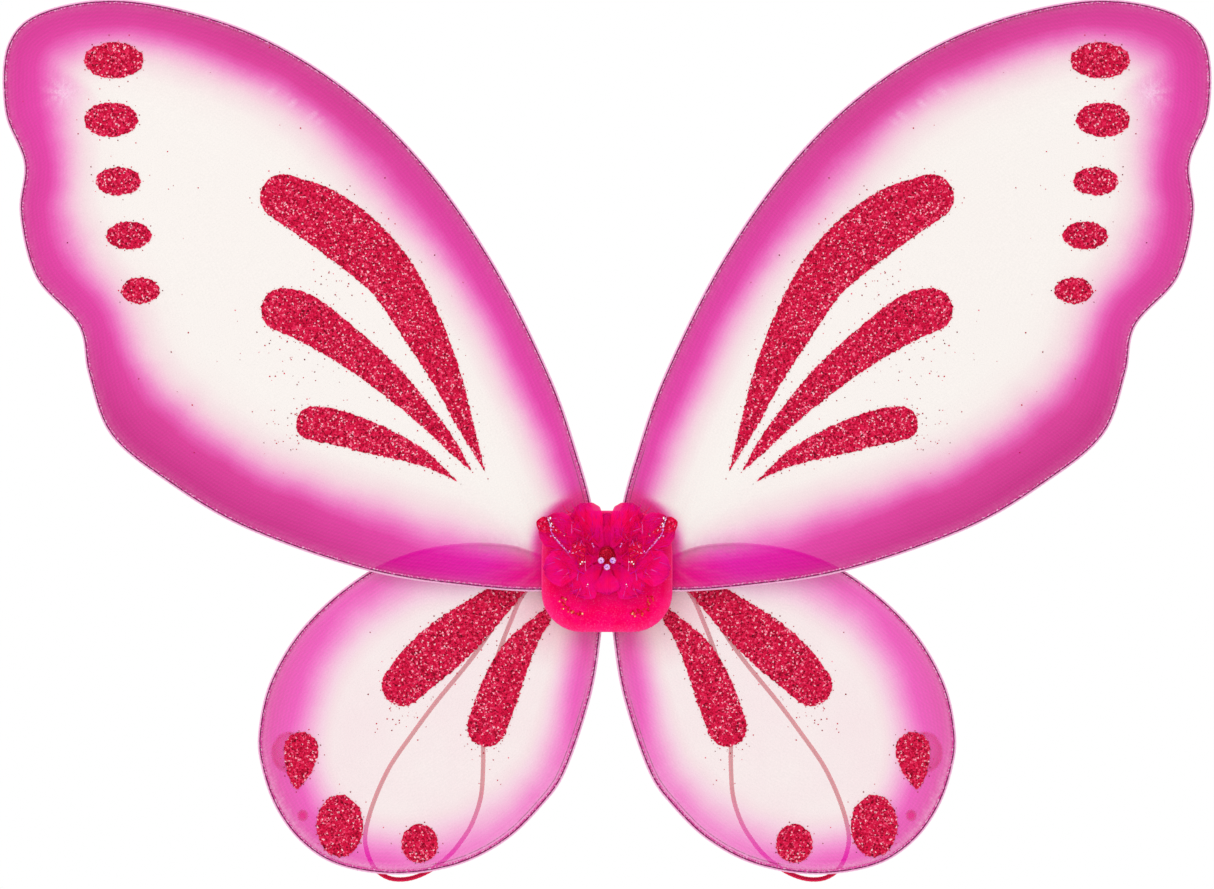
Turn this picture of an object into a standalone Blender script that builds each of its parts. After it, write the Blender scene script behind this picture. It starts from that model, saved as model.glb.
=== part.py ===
"""Costume fairy wings: four wire loops covered in sheer nylon, a padded centre, a fabric flower and
two elastic shoulder loops. Metres, +Z up. The display side faces -Y and the wearer stands on the +Y
side. The origin is the centre of the back pad's rear face. Side is -1 for the left wing pair (-X)
and +1 for the right (+X), and outlines are written for the right side as (x, z) in millimetres."""

import math

import bmesh
import bpy
from mathutils import Vector

MM = 0.001
SIDES = {"left": -1, "right": 1}

# Centre pads.
PAD_WIDTH = 65 * MM
PAD_HEIGHT = 60 * MM
PAD_CORNER = 20 * MM
PAD_THICKNESS = 2.5 * MM
FRONT_PAD_THICKNESS = 2.0 * MM
CORE_PAD_THICKNESS = 2.0 * MM
CARD_MARGIN = 3 * MM
CORNER_STEPS = 8

# Layers from the wearer's side (y = 0) to the display side (negative y).
STRAP_Y = -3.9 * MM
LOWER_WING_Y = -6.6 * MM
LOWER_TAPE_Y = -8.0 * MM
CORE_PAD_Y = -9.5 * MM
CARD_Y = -11.1 * MM
UPPER_WING_Y = -12.9 * MM
UPPER_TAPE_Y = -14.3 * MM
FRONT_PAD_Y = -15.8 * MM
FLOWER_BASE_Y = -17.6 * MM
PETAL_BACK_Y = -18.8 * MM
PETAL_STEP_Y = 1.0 * MM

# Wire, cover and binding.
WIRE_RADIUS = 1.0 * MM
COVER_THICKNESS = 0.8 * MM
COVER_GAP = 0.3 * MM
CARD_THICKNESS = 0.6 * MM
TAPE_THICKNESS = 0.3 * MM
TAPE_WIDTH = 9 * MM
LOWER_TAPE_LENGTH = 52 * MM
LOWER_TAPE_Z = -8 * MM
UPPER_TAPE_LENGTH = 44 * MM
UPPER_TAPE_Z = 5 * MM

# Bend lines. Each runs square to a line from the pad's centre at this angle from +X.
BEND_OFFSET = 38 * MM
UPPER_BEND_ANGLE = math.radians(33.6)
LOWER_BEND_ANGLE = math.radians(-37.9)
WIRE_BEND_GAP = 1.2 * MM
COVER_BEND_GAP = 0.5 * MM

# Each outline runs clockwise round the whole wire loop, part of which lies under the pad.
UPPER_OUTLINE = [
    (6, 16), (7, 31), (14, 57), (28, 97), (56, 153), (91, 203), (132, 242), (181, 270), (237, 284),
    (279, 279), (298, 262), (299.5, 229), (290, 203), (292, 178), (284, 146), (263, 122), (258, 98),
    (247, 68), (219, 44.5), (179, 21), (118, 0), (66, -8), (32, -10), (16, -7), (7, 3),
]
LOWER_OUTLINE = [
    (5, -6), (14, 4), (32, 8), (48, 13), (70, 14), (95, 10), (117, 1), (139, -15), (156.5, -34),
    (169, -57), (174, -80), (173, -96), (166, -117), (153, -135), (134, -147), (105, -151.5),
    (75, -147), (51, -135), (33, -118), (20.5, -100), (8, -63), (3, -33), (3, -20),
]
OUTLINE_STEPS = 4

# Elastic shoulder loop, as (x, y, z) in millimetres on the right side: down, across and up again.
STRAP_RADIUS = 1.15 * MM
STRAP_POINTS = 62
STRAP_STEPS = 6
STRAP_ROUTE = [
    (33.2, -3.9, -6.6), (37, -3.9, -7.2), (41, -3.8, -10.5), (44.5, -3.8, -16.5), (48, -3.7, -25),
    (52, -3.5, -35), (56, -3.2, -47), (59.5, -2.8, -62), (61.8, -2.2, -80), (62, -1.8, -98),
    (63.2, -1.4, -113.5), (67.5, -1, -126.5), (73, -0.6, -135.5), (79.5, -0.4, -143.2),
    (88, -0.2, -149.8), (96.5, 0, -153.7), (104, 0, -154.8), (110.5, -0.1, -153.5),
    (116.2, -0.2, -149.2), (120, -0.4, -141.5), (121, -0.7, -132), (117.2, -1.1, -117), (109, -1.5, -98.7),
    (97.2, -2, -81.5), (85.2, -2.5, -65.4), (70.5, -3, -47.5), (61, -3.4, -34.5),
    (53.5, -3.7, -21.5), (49, -3.8, -13), (44, -3.9, -6.8), (38.5, -3.9, -3.7), (33.2, -3.9, -3.4),
]
STRAP_PIVOT_Z = -3.4 * MM
ANCHOR_WIDTH = 9 * MM
ANCHOR_HEIGHT = 6.6 * MM
ANCHOR_THICKNESS = 2.2 * MM
ANCHOR_Z = -5.0 * MM

# Flower, centred above the middle of the pad. Petals curl forward with distance from its centre.
FLOWER_Z = 8 * MM
FLOWER_REACH = 38 * MM
FLOWER_LIFT = 7 * MM
FLOWER_BASE_RADIUS = 14 * MM
FLOWER_BASE_THICKNESS = 0.8 * MM
FLOWER_HEART_RADIUS = 4.2 * MM
FLOWER_HEART_LAYER = 3
DISC_SIDES = 28
PETAL_THICKNESS = 0.5 * MM
PETAL_START = 5.2
PETAL_ROWS = 8
PETAL_COLUMNS = 4
# (angle in degrees, length and width in millimetres, layer from the back) for each side's petals.
OUTER_PETALS = {
    "petal_tip": (27, 37, 19, 0),
    "petal_upper": (61, 29, 18, 1),
    "petal_side": (-14, 32, 18, 1),
    "petal_lower": (-51, 25, 17, 0),
}
MIDDLE_PETALS = {"petal_top": (90, 21, 16, 0), "petal_bottom": (-90, 19, 13, 1)}
# (start, end and width in millimetres) of each side's glitter petals, all on one layer.
GLITTER_PETALS = {
    "glitter_petal_side": ((12.6, 2.8), (15.0, 15.2), 8),
    "glitter_petal_upper": ((22.5, 19.5), (34.5, 25.5), 8),
}
GLITTER_LAYER = 2
PETAL_PROFILE = [(0, 0.14), (0.3, 0.46), (0.55, 0.86), (0.75, 1.0), (0.9, 0.72), (1, 0.16)]
TINSEL_START = (19, 9.4)
TINSEL_END = (29.4, 27)
TINSEL_WIDTH = 1.4
TINSEL_LAYER = 3
BEAD_RADIUS = 1.5 * MM
BEAD_Y = -23.6 * MM
BEADS = {"bead_left": (-2.9, 5.8), "bead_right": (2.9, 5.8), "bead_low": (0, 2.6)}

COLOURS = {
    "nylon": ((0.84, 0.25, 0.62), 0.45, 0),
    "wire": ((0.55, 0.10, 0.33), 0.35, 1),
    "felt": ((0.98, 0.02, 0.40), 0.9, 0),
    "card": ((0.72, 0.66, 0.56), 0.9, 0),
    "tape": ((0.90, 0.90, 0.88), 0.6, 0),
    "elastic": ((0.84, 0.06, 0.24), 0.8, 0),
    "petal": ((0.95, 0.03, 0.45), 0.5, 0),
    "glitter": ((0.78, 0.05, 0.24), 0.3, 0.4),
    "bead": ((0.80, 0.70, 0.95), 0.15, 0.2),
    "tinsel": ((0.82, 0.72, 0.95), 0.15, 0.8),
}


def clear_scene():
    for obj in list(bpy.data.objects):
        bpy.data.objects.remove(obj)


def material(name):
    """The Principled material of one kind of piece, made once."""
    if name in bpy.data.materials:
        return bpy.data.materials[name]
    made = bpy.data.materials.new(name)
    made.use_nodes = True
    colour, roughness, metallic = COLOURS[name]
    shader = made.node_tree.nodes["Principled BSDF"]
    shader.inputs["Base Color"].default_value = (*colour, 1)
    shader.inputs["Roughness"].default_value = roughness
    shader.inputs["Metallic"].default_value = metallic
    return made


def empty(name, place):
    pivot = bpy.data.objects.new(name, None)
    pivot.location = place
    bpy.context.collection.objects.link(pivot)
    return pivot


def add(name, data, look, pivot=None):
    """A new object for this data, given in world coordinates, hung from its pivot."""
    obj = bpy.data.objects.new(name, data)
    data.materials.append(material(look))
    bpy.context.collection.objects.link(obj)
    if pivot:
        obj.parent = pivot
        obj.location = -pivot.location
    return obj


def mesh_from(name, points, faces):
    """A closed mesh with its faces pointing out."""
    mesh = bpy.data.meshes.new(name)
    work = bmesh.new()
    verts = [work.verts.new(point) for point in points]
    for face in faces:
        work.faces.new([verts[i] for i in face])
    bmesh.ops.recalc_face_normals(work, faces=work.faces)
    work.to_mesh(mesh)
    work.free()
    return mesh


def plate(name, outline, y, thickness, look, pivot=None):
    """A flat plate centred on the plane y, from an outline of (x, z) points in metres."""
    count = len(outline)
    points = [(x, y - thickness / 2, z) for x, z in outline]
    points += [(x, y + thickness / 2, z) for x, z in outline]
    faces = [list(range(count)), list(range(count, 2 * count))]
    faces += [[i, (i + 1) % count, (i + 1) % count + count, i + count] for i in range(count)]
    return add(name, mesh_from(name, points, faces), look, pivot)


def tube(name, points, radius, look, pivot=None):
    """A round tube with flat ends along these points."""
    curve = bpy.data.curves.new(name, "CURVE")
    curve.dimensions = "3D"
    curve.bevel_depth = radius
    curve.bevel_resolution = 2
    curve.use_fill_caps = True
    spline = curve.splines.new("POLY")
    spline.points.add(len(points) - 1)
    for point, place in zip(spline.points, points, strict=True):
        point.co = (*place, 1)
    return add(name, curve, look, pivot)


def spline_through(points, steps, closed):
    """Points on the Catmull-Rom curve through these, with this many steps per span."""
    count = len(points)
    spans = count if closed else count - 1
    made = []
    for i in range(spans):
        near = [
            points[(i + k) % count] if closed else points[min(max(i + k, 0), count - 1)]
            for k in (-1, 0, 1, 2)
        ]
        for step in range(steps):
            made.append(sum_of(near, catmull_rom(step / steps)))
    return made if closed else [*made, Vector(points[-1])]


def catmull_rom(t):
    """The weights of four neighbouring points at this share of the middle span."""
    return (
        (-t + 2 * t**2 - t**3) / 2,
        (2 - 5 * t**2 + 3 * t**3) / 2,
        (t + 4 * t**2 - 3 * t**3) / 2,
        (t**3 - t**2) / 2,
    )


def sum_of(points, weights):
    total = Vector(points[0]) * 0
    for point, weight in zip(points, weights, strict=True):
        total += Vector(point) * weight
    return total


def evenly(points, count):
    """This many points at even distances along a polyline."""
    ends = [0.0]
    for a, b in zip(points, points[1:], strict=False):
        ends.append(ends[-1] + (b - a).length)
    made = []
    span = 0
    for i in range(count):
        along = ends[-1] * i / (count - 1)
        while span < len(points) - 2 and ends[span + 1] < along:
            span += 1
        share = (along - ends[span]) / (ends[span + 1] - ends[span])
        made.append(points[span].lerp(points[span + 1], min(share, 1)))
    return made


def inset(outline, distance):
    """A closed outline moved inwards by this distance. The outline runs clockwise."""
    made = []
    count = len(outline)
    for i, point in enumerate(outline):
        along = (outline[(i + 1) % count] - outline[i - 1]).normalized()
        made.append(point + Vector((along.y, -along.x)) * distance)
    return made


def past_bend(point, angle):
    """How far a right-side (x, z) point lies outside the bend line."""
    return point.dot(Vector((math.cos(angle), math.sin(angle)))) - BEND_OFFSET


def clipped(outline, angle, gap, moving):
    """The open stretch of a closed outline on one side of the bend line, its ends a gap from it."""
    sign = 1 if moving else -1
    depth = [sign * past_bend(point, angle) - gap for point in outline]
    count = len(outline)
    start = next(i for i in range(count) if depth[i - 1] <= 0 < depth[i])
    made = []
    i = start
    while depth[i % count] > 0:
        made.append(outline[i % count])
        i += 1
    for first, last, place in ((start - 1, start, 0), ((i - 1) % count, i % count, len(made) + 1)):
        share = depth[first] / (depth[first] - depth[last])
        made.insert(place, outline[first].lerp(outline[last], share))
    return made


def to_side(outline, side):
    return [(side * point.x, point.y) for point in outline]


def rectangle(width, height, x, z):
    """The corners of a rectangle centred on (x, z)."""
    return [
        (x - width / 2, z - height / 2),
        (x + width / 2, z - height / 2),
        (x + width / 2, z + height / 2),
        (x - width / 2, z + height / 2),
    ]


def rounded_rectangle(width, height, radius):
    """The outline of a rectangle centred on the origin, with rounded corners."""
    made = []
    for corner in range(4):
        turn = math.pi / 2 * corner
        cx = (width / 2 - radius) * (1 if corner in (0, 3) else -1)
        cz = (height / 2 - radius) * (1 if corner in (0, 1) else -1)
        for step in range(CORNER_STEPS + 1):
            angle = turn + math.pi / 2 * step / CORNER_STEPS
            made.append((cx + radius * math.cos(angle), cz + radius * math.sin(angle)))
    return made


def bend_pivot(name, side, angle, y):
    """The empty on a wing's bend line, at its nearest point to the pad's centre."""
    return empty(name, (side * BEND_OFFSET * math.cos(angle), y, BEND_OFFSET * math.sin(angle)))


def wing(name, side_name, points, y, angle):
    """One wing: the wire loop and its nylon cover, both in a moving and a fixed stretch."""
    side = SIDES[side_name]
    outline = spline_through([Vector(point) * MM for point in points], OUTLINE_STEPS, closed=True)
    centre_line = inset(outline, WIRE_RADIUS)
    cover_line = inset(outline, 2 * WIRE_RADIUS + COVER_GAP)
    pivot = bend_pivot(f"{name}_bend_{side_name}", side, angle, y)
    stretches = ((f"{name}_wing", True, pivot, "cover"), (f"{name}_root", False, None, "gather"))
    for stem, moving, hung_from, cloth in stretches:
        wire = to_side(clipped(centre_line, angle, WIRE_BEND_GAP, moving), side)
        line = [(x, y, z) for x, z in wire]
        tube(f"{stem}_wire_{side_name}", line, WIRE_RADIUS, "wire", hung_from)
        cover = to_side(clipped(cover_line, angle, COVER_BEND_GAP, moving), side)
        plate(f"{stem}_{cloth}_{side_name}", cover, y, COVER_THICKNESS, "nylon", hung_from)


def strap(side_name):
    """One elastic shoulder loop and the flat end stitched into the pad's side."""
    side = SIDES[side_name]
    route = [Vector((side * x, y, z)) * MM for x, y, z in STRAP_ROUTE]
    line = evenly(spline_through(route, STRAP_STEPS, closed=False), STRAP_POINTS)
    start = line[0]
    pivot = empty(f"strap_pivot_{side_name}", (start.x, STRAP_Y, STRAP_PIVOT_Z))
    tube(f"strap_{side_name}", line, STRAP_RADIUS, "elastic", pivot)
    outer = PAD_WIDTH / 2 + COVER_GAP
    outline = [
        (side * x, ANCHOR_Z + z)
        for x, z in rectangle(ANCHOR_WIDTH, ANCHOR_HEIGHT, outer - ANCHOR_WIDTH / 2, 0)
    ]
    plate(f"strap_anchor_{side_name}", outline, STRAP_Y, ANCHOR_THICKNESS, "elastic")


def pads():
    """The felt pads and the card that sandwich the wire ends. The core pad and the card lie between the
    two pairs of wings."""
    outline = rounded_rectangle(PAD_WIDTH, PAD_HEIGHT, PAD_CORNER)
    plate("back_pad", outline, -PAD_THICKNESS / 2, PAD_THICKNESS, "felt")
    plate("front_pad", outline, FRONT_PAD_Y, FRONT_PAD_THICKNESS, "felt")
    smaller = rounded_rectangle(
        PAD_WIDTH - 2 * CARD_MARGIN, PAD_HEIGHT - 2 * CARD_MARGIN, PAD_CORNER - CARD_MARGIN
    )
    plate("core_pad", smaller, CORE_PAD_Y, CORE_PAD_THICKNESS, "felt")
    plate("stiffener_card", smaller, CARD_Y, CARD_THICKNESS, "card")


def tapes():
    """A strip of tape over each pair of wire ends."""
    lower = rectangle(LOWER_TAPE_LENGTH, TAPE_WIDTH, 0, LOWER_TAPE_Z)
    upper = rectangle(UPPER_TAPE_LENGTH, TAPE_WIDTH, 0, UPPER_TAPE_Z)
    plate("lower_binding_tape", lower, LOWER_TAPE_Y, TAPE_THICKNESS, "tape")
    plate("upper_binding_tape", upper, UPPER_TAPE_Y, TAPE_THICKNESS, "tape")


def profile_at(share):
    """A petal's half-width at this share of its length, as a share of its widest."""
    for (t0, w0), (t1, w1) in zip(PETAL_PROFILE, PETAL_PROFILE[1:], strict=False):
        if share <= t1:
            return w0 + (w1 - w0) * (share - t0) / (t1 - t0)
    return PETAL_PROFILE[-1][1]


def leaf_faces(rows, columns):
    """The faces of a thin grid with a back layer, a front layer and a rim that joins them."""
    wide = columns + 1
    layer_size = (rows + 1) * wide
    faces = []
    for shift in (0, layer_size):
        for row in range(rows):
            for column in range(columns):
                corner = shift + row * wide + column
                faces.append([corner, corner + 1, corner + wide + 1, corner + wide])
    rim = list(range(wide))
    rim += [row * wide + columns for row in range(1, rows + 1)]
    rim += [rows * wide + column for column in reversed(range(columns))]
    rim += [row * wide for row in reversed(range(1, rows))]
    for a, b in zip(rim, rim[1:] + rim[:1], strict=True):
        faces.append([a, b, b + layer_size, a + layer_size])
    return faces


def leaf(name, start, end, half_width, layer, look, columns=PETAL_COLUMNS):
    """A thin curled leaf between two (x, z) points in millimetres. half_width gives its half-width in
    millimetres at a share of its length."""
    start, end = Vector(start) * MM, Vector(end) * MM
    along = end - start
    across = Vector((-along.y, along.x)).normalized()
    base = PETAL_BACK_Y - PETAL_STEP_Y * layer
    points = []
    for front in (0, 1):
        for row in range(PETAL_ROWS + 1):
            share = row / PETAL_ROWS
            for column in range(columns + 1):
                offset = (column / columns * 2 - 1) * half_width(share) * MM
                place = start + along * share + across * offset
                reach = (place - Vector((0, FLOWER_Z))).length / FLOWER_REACH
                y = base - FLOWER_LIFT * reach**2 - PETAL_THICKNESS * front
                points.append((place.x, y, place.y))
    return add(name, mesh_from(name, points, leaf_faces(PETAL_ROWS, columns)), look)


def petal(name, side, shape, look):
    """A petal that points out from the flower's centre."""
    angle, length, width, layer = shape
    direction = Vector((side * math.cos(math.radians(angle)), math.sin(math.radians(angle))))
    centre = Vector((0, FLOWER_Z / MM))
    start, end = centre + direction * PETAL_START, centre + direction * length
    leaf(name, start, end, lambda share: width / 2 * profile_at(share), layer, look)


def glitter_petal(name, side, shape):
    """A small petal that lies on the others, clear of the flower's centre."""
    (x0, z0), (x1, z1), width = shape
    start, end = (side * x0, z0), (side * x1, z1)
    leaf(name, start, end, lambda share: width / 2 * profile_at(share), GLITTER_LAYER, "glitter")


def tinsel(name, side):
    """A narrow strip that lies across the upper petals."""
    start, end = ((side * x, z) for x, z in (TINSEL_START, TINSEL_END))
    leaf(name, start, end, lambda share: TINSEL_WIDTH / 2, TINSEL_LAYER, "tinsel", columns=1)


def disc(name, radius, y_back, y_front, look):
    """A round plate about the flower's centre."""
    outline = []
    for i in range(DISC_SIDES):
        angle = 2 * math.pi * i / DISC_SIDES
        outline.append((radius * math.cos(angle), FLOWER_Z + radius * math.sin(angle)))
    return plate(name, outline, (y_back + y_front) / 2, y_back - y_front, look)


def bead(name, x, z):
    """A round bead, its centre at (x, z) in millimetres."""
    mesh = bpy.data.meshes.new(name)
    work = bmesh.new()
    bmesh.ops.create_icosphere(work, subdivisions=2, radius=BEAD_RADIUS)
    bmesh.ops.translate(work, verts=work.verts, vec=(x * MM, BEAD_Y, z * MM))
    work.to_mesh(mesh)
    work.free()
    mesh.shade_smooth()
    add(name, mesh, "bead")


def flower():
    """The fabric flower: a felt base, curled petals, glitter petals, tinsel, a heart and beads."""
    half = FLOWER_BASE_THICKNESS / 2
    disc("flower_base", FLOWER_BASE_RADIUS, FLOWER_BASE_Y + half, FLOWER_BASE_Y - half, "felt")
    for side_name, side in SIDES.items():
        for stem, shape in OUTER_PETALS.items():
            petal(f"{stem}_{side_name}", side, shape, "petal")
        for stem, shape in GLITTER_PETALS.items():
            glitter_petal(f"{stem}_{side_name}", side, shape)
        tinsel(f"tinsel_{side_name}", side)
    for name, shape in MIDDLE_PETALS.items():
        petal(name, 1, shape, "petal")
    heart_back = FLOWER_BASE_Y - half - COVER_GAP
    heart_front = PETAL_BACK_Y - FLOWER_HEART_LAYER * PETAL_STEP_Y
    disc("flower_heart", FLOWER_HEART_RADIUS, heart_back, heart_front, "glitter")
    for name, (x, z) in BEADS.items():
        bead(name, x, z)


def main():
    clear_scene()
    pads()
    tapes()
    for side_name in SIDES:
        wing("upper", side_name, UPPER_OUTLINE, UPPER_WING_Y, UPPER_BEND_ANGLE)
        wing("lower", side_name, LOWER_OUTLINE, LOWER_WING_Y, LOWER_BEND_ANGLE)
        strap(side_name)
    flower()


main()
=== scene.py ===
import math
import random

import bpy
import numpy as np
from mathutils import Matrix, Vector, geometry, kdtree, noise


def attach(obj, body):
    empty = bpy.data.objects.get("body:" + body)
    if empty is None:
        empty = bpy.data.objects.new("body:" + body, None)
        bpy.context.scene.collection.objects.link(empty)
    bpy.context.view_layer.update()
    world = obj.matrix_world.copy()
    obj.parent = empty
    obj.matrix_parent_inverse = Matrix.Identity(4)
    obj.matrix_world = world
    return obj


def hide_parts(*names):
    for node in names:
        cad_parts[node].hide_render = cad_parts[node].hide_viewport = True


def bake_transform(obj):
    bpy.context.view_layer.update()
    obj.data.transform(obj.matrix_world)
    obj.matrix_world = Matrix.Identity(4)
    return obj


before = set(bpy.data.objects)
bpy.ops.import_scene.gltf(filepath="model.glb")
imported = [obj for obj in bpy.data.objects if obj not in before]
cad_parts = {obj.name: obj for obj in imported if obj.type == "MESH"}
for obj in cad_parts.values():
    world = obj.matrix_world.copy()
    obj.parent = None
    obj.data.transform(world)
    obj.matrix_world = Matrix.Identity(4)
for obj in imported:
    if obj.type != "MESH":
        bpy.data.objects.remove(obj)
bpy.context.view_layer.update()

# Costume fairy wings: sheer airbrushed nylon on wire loops, glitter marks, felt pads, a ruffled flower
# and elastic shoulder loops. Shapes are written in millimetres for the right side (+X) and mirrored.
# "rest" is each vertex's place at rest on the right side, which the materials' patterns follow.
MM = 0.001
SIDES = {"left": -1, "right": 1}
# The studio shows a surface this much brighter than its own colour.
LIGHT = 1.09
CAMERA_LENS = 100
CAMERA_PLACE = (0, -1.6893, 0.0631)
# Each lamp's place, size and power.
LAMPS = {"key": ((-0.9, -1.7, 1.5), 0.7, 9), "back": ((0.8, 1.9, 1.2), 0.9, 8)}
LAMP_TARGET = (0, 0, 0.05)
FLOOR_Z = -0.62

# Layers, from the wearer's side (y = 0) to the display side.
STRAP_Y = -3.9
WING_Y = {"lower": -6.6, "upper": -12.9}
PAD_LAYERS = {"back_pad": (0.0, -2.5), "core_pad": (-8.5, -10.5), "front_pad": (-14.8, -16.8)}
SPECK_Y = -17.05
FLOWER_BASE_Y = (-17.25, -18.0)
HEART_BACK_Y = -18.2
BEAD_Y = -23.6
# The petals' layers, and how far the flower's rim stands in front of its middle.
FLOWER_BACK_Y = -18.8
FLOWER_STEP_Y = 1.0
FLOWER_LIFT = 7.0
FLOWER_REACH = 38.0
FLOWER_CENTRE = (0.0, 8.0)

# Each wing folds about a line square to its own direction from the pad's centre, this far out, and its
# cloth bends over this much to either side of the line.
BEND_OFFSET = 38.0
BEND_HALF = 6.0
BEND_ANGLE = {"upper": math.radians(33.6), "lower": math.radians(-37.9)}

# Wing outlines, clockwise: (x, z, width of the painted border, share of rose in it, where its fade
# starts: above 0 for a pale border and below 0 for a solid one).
UPPER_OUTLINE = [
    (6, 16, 15, 1, 0), (7, 31, 19, 0.8, 0.1), (14, 57, 23, 0.5, 0.1), (28, 97, 27, 0.5, 0),
    (56, 153, 29, 0.6, 0), (91, 203, 35, 0.8, 0), (132, 242, 32, 1, 0), (181, 270, 33, 1, 0),
    (237, 284, 31, 0.9, 0), (279, 279, 38, 0.8, 0), (298, 262, 42, 0.7, 0), (299.5, 229, 43, 0.5, 0),
    (290, 203, 31, 0.6, 0), (292, 178, 33, 0.7, 0), (284, 146, 36, 0.7, 0), (263, 122, 32, 0.7, 0),
    (258, 98, 38, 0.8, -0.1), (247, 68, 45, 1, -0.2), (219, 44.5, 43, 1, -0.2),
    (179, 21, 42, 1, -0.2), (118, 0, 41, 0.7, -0.1), (66, -8, 33, 0.35, 0), (32, -10, 22, 0.35, 0),
    (16, -7, 18, 1, 0), (7, 3, 16, 1, 0),
]
LOWER_OUTLINE = [
    (5, -6, 16, 0.5, 0), (14, 4, 16, 0.5, 0), (32, 8, 16, 0.5, 0), (48, 13, 24, 0.5, 0),
    (70, 14, 28, 0.4, 0), (95, 10, 28, 0.2, 0.1), (117, 1, 28, 0.1, 0.2), (139, -15, 30, 0, 0.22),
    (156.5, -34, 32, 0, 0.05), (169, -57, 34, 0, -0.1), (174, -80, 34, 0, -0.15), (173, -96, 34, 0, -0.15),
    (166, -117, 32, 0, -0.1), (153, -135, 31, 0.1, 0), (134, -147, 29, 0.1, 0.12),
    (105, -151.5, 27, 0, 0.3), (75, -147, 26, 0, 0.38), (51, -135, 25, 0, 0.45), (33, -118, 23, 0, 0.45),
    (20.5, -100, 21, 0, 0.4), (8, -63, 22, 0, 0.1), (3, -33, 20, 0.1, 0), (3, -20, 18, 0.2, 0),
]
OUTLINES = {"upper": UPPER_OUTLINE, "lower": LOWER_OUTLINE}
HEM_RADIUS = 1.15
FLAKE_CORNERS = 5
# How pale each wing's middle is, how pale its cloth is beside the hem, and how solid it is over all.
MIDDLE_SHARE = {"upper": 1.6, "lower": 1.12}
HAZE_AMOUNT = {"upper": 0.3, "lower": 0.45}
CLOTH_SOLID = {"upper": 1.0, "lower": 0.94}
# Where the cloth is gathered, where it is puckered, and its short crease near the leading edge.
GATHERS = {"upper": (29, 5), "lower": (22, -10)}
PUCKER = (270, 238)
CREASE = (154, 231)
CREASE_ALONG = (0.85, 0.52)
CREASE_HALF = 16
# Each point of the border takes the mean of the hem's values this much further than its nearest.
BORDER_BLUR = 4

# Glitter marks. A drop is (x, z, half-width) along its middle, round head first, pointed tip last.
DROPS = {
    "upper": [
        [(161, 186, 11.5), (143, 177, 14.3), (124, 163, 14.5), (107, 146, 12.5), (92, 121, 10.5),
         (80, 97, 7.5), (70, 72, 4), (60.4, 49, 0)],
        [(161, 130, 11), (150, 126, 11.5), (127, 110.5, 9.3), (107, 94, 7.5), (90, 77, 5),
         (77, 62, 3), (67.1, 49.7, 0)],
        [(146, 73.5, 8.6), (134, 71.5, 8.8), (119, 66.8, 8), (105, 62, 6.3), (93, 57, 4.2),
         (83, 50.8, 2), (74.8, 45, 0)],
    ],
    "lower": [
        [(102, -57, 10.4), (93, -47.5, 12), (80, -36, 12.4), (67, -25.5, 10.6), (56, -16, 8.2),
         (46, -8, 5.6), (38, -3, 2.6), (33, 1, 0)],
        [(60, -78, 9.8), (54, -61, 10), (49, -49, 9), (43.5, -38.7, 7.5), (37, -30, 5.2),
         (29.8, -21.6, 3), (24, -15, 0)],
        [(152.5, -89, 8.6), (153.2, -95.5, 7.7), (154, -101.5, 5.4), (154.6, -106, 2.8), (154.9, -109, 0)],
    ],
}
# An oval is (x, z, half-width, half-height).
OVALS = {
    "upper": [(245, 254, 14.7, 9), (246.5, 224.5, 13.4, 8.5), (243, 194, 11.2, 7.1),
              (237.6, 167, 11.2, 7), (232, 139.6, 9.6, 6.5)],
    "lower": [(133.3, -127.2, 11.6, 15.5), (93.4, -136, 9.2, 9.6)],
}
# Loose flakes are spread as (x, z, spread, how many).
STRAYS = {
    "upper": [(137, 141, 5, 22), (155, 106, 12, 52), (155, 70, 8, 38), (120, 150, 45, 16),
              (150, 120, 60, 20), (240, 200, 22, 12), (210, 170, 60, 12)],
    "lower": [(103, -68, 9, 44), (61, -91, 7, 24), (133, -127, 15, 8), (90, -100, 45, 12)],
}
STAIN_CRESCENT = (158.5, -90.5, 9.2)
STAIN_DOT = (151.8, -122, 3.0)

# Shoulder loop, down, across and up again.
STRAP_DIAMETER = 0.0023
STRAP_ROUTE = [
    (33.2, -3.9, -6.6), (37, -3.9, -7.2), (41, -3.8, -10.5), (44.5, -3.8, -16.5), (48, -3.7, -25),
    (52, -3.5, -35), (56, -3.2, -47), (59.5, -2.8, -62), (61.8, -2.2, -80), (62, -1.8, -98),
    (63.2, -1.4, -113.5), (67.5, -1, -126.5), (73, -0.6, -135.5), (79.5, -0.4, -143.2),
    (88, -0.2, -149.8), (96.5, 0, -153.7), (104, 0, -154.8), (110.5, -0.1, -153.5),
    (116.2, -0.2, -149.2), (120, -0.4, -141.5), (121, -0.7, -132), (117.2, -1.1, -117), (109, -1.5, -98.7),
    (97.2, -2, -81.5), (85.2, -2.5, -65.4), (70.5, -3, -47.5), (61, -3.4, -34.5),
    (53.5, -3.7, -21.5), (49, -3.8, -13), (44, -3.9, -6.8), (38.5, -3.9, -3.7), (33.2, -3.9, -3.4),
]

# Pads, and the running stitch on the back one. The core pad is smaller all round by its inset.
PAD_WIDTH = 65.0
PAD_HEIGHT = 60.0
PAD_CORNER = 20.0
CORE_INSET = 3.0
SEAM_FROM_EDGE = 4.0
STITCH_LENGTH = 2.3
STITCH_GAP = 1.5
STITCH_RADIUS = 0.22
# Where flakes are stuck to the front pad's lower right corner.
SPECK_ARC = [(21.6, -12.8), (21, -15.4), (20, -18), (17.6, -20), (15, -20.6), (12.9, -20.9)]
# The strap's sewn end: (width, height, corner radius), its middle and half its thickness.
STRAP_END_SIZE = (9.0, 6.6, 1.6)
STRAP_END_PLACE = (28.3, -5.0)
STRAP_END_HALF = 1.05

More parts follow.
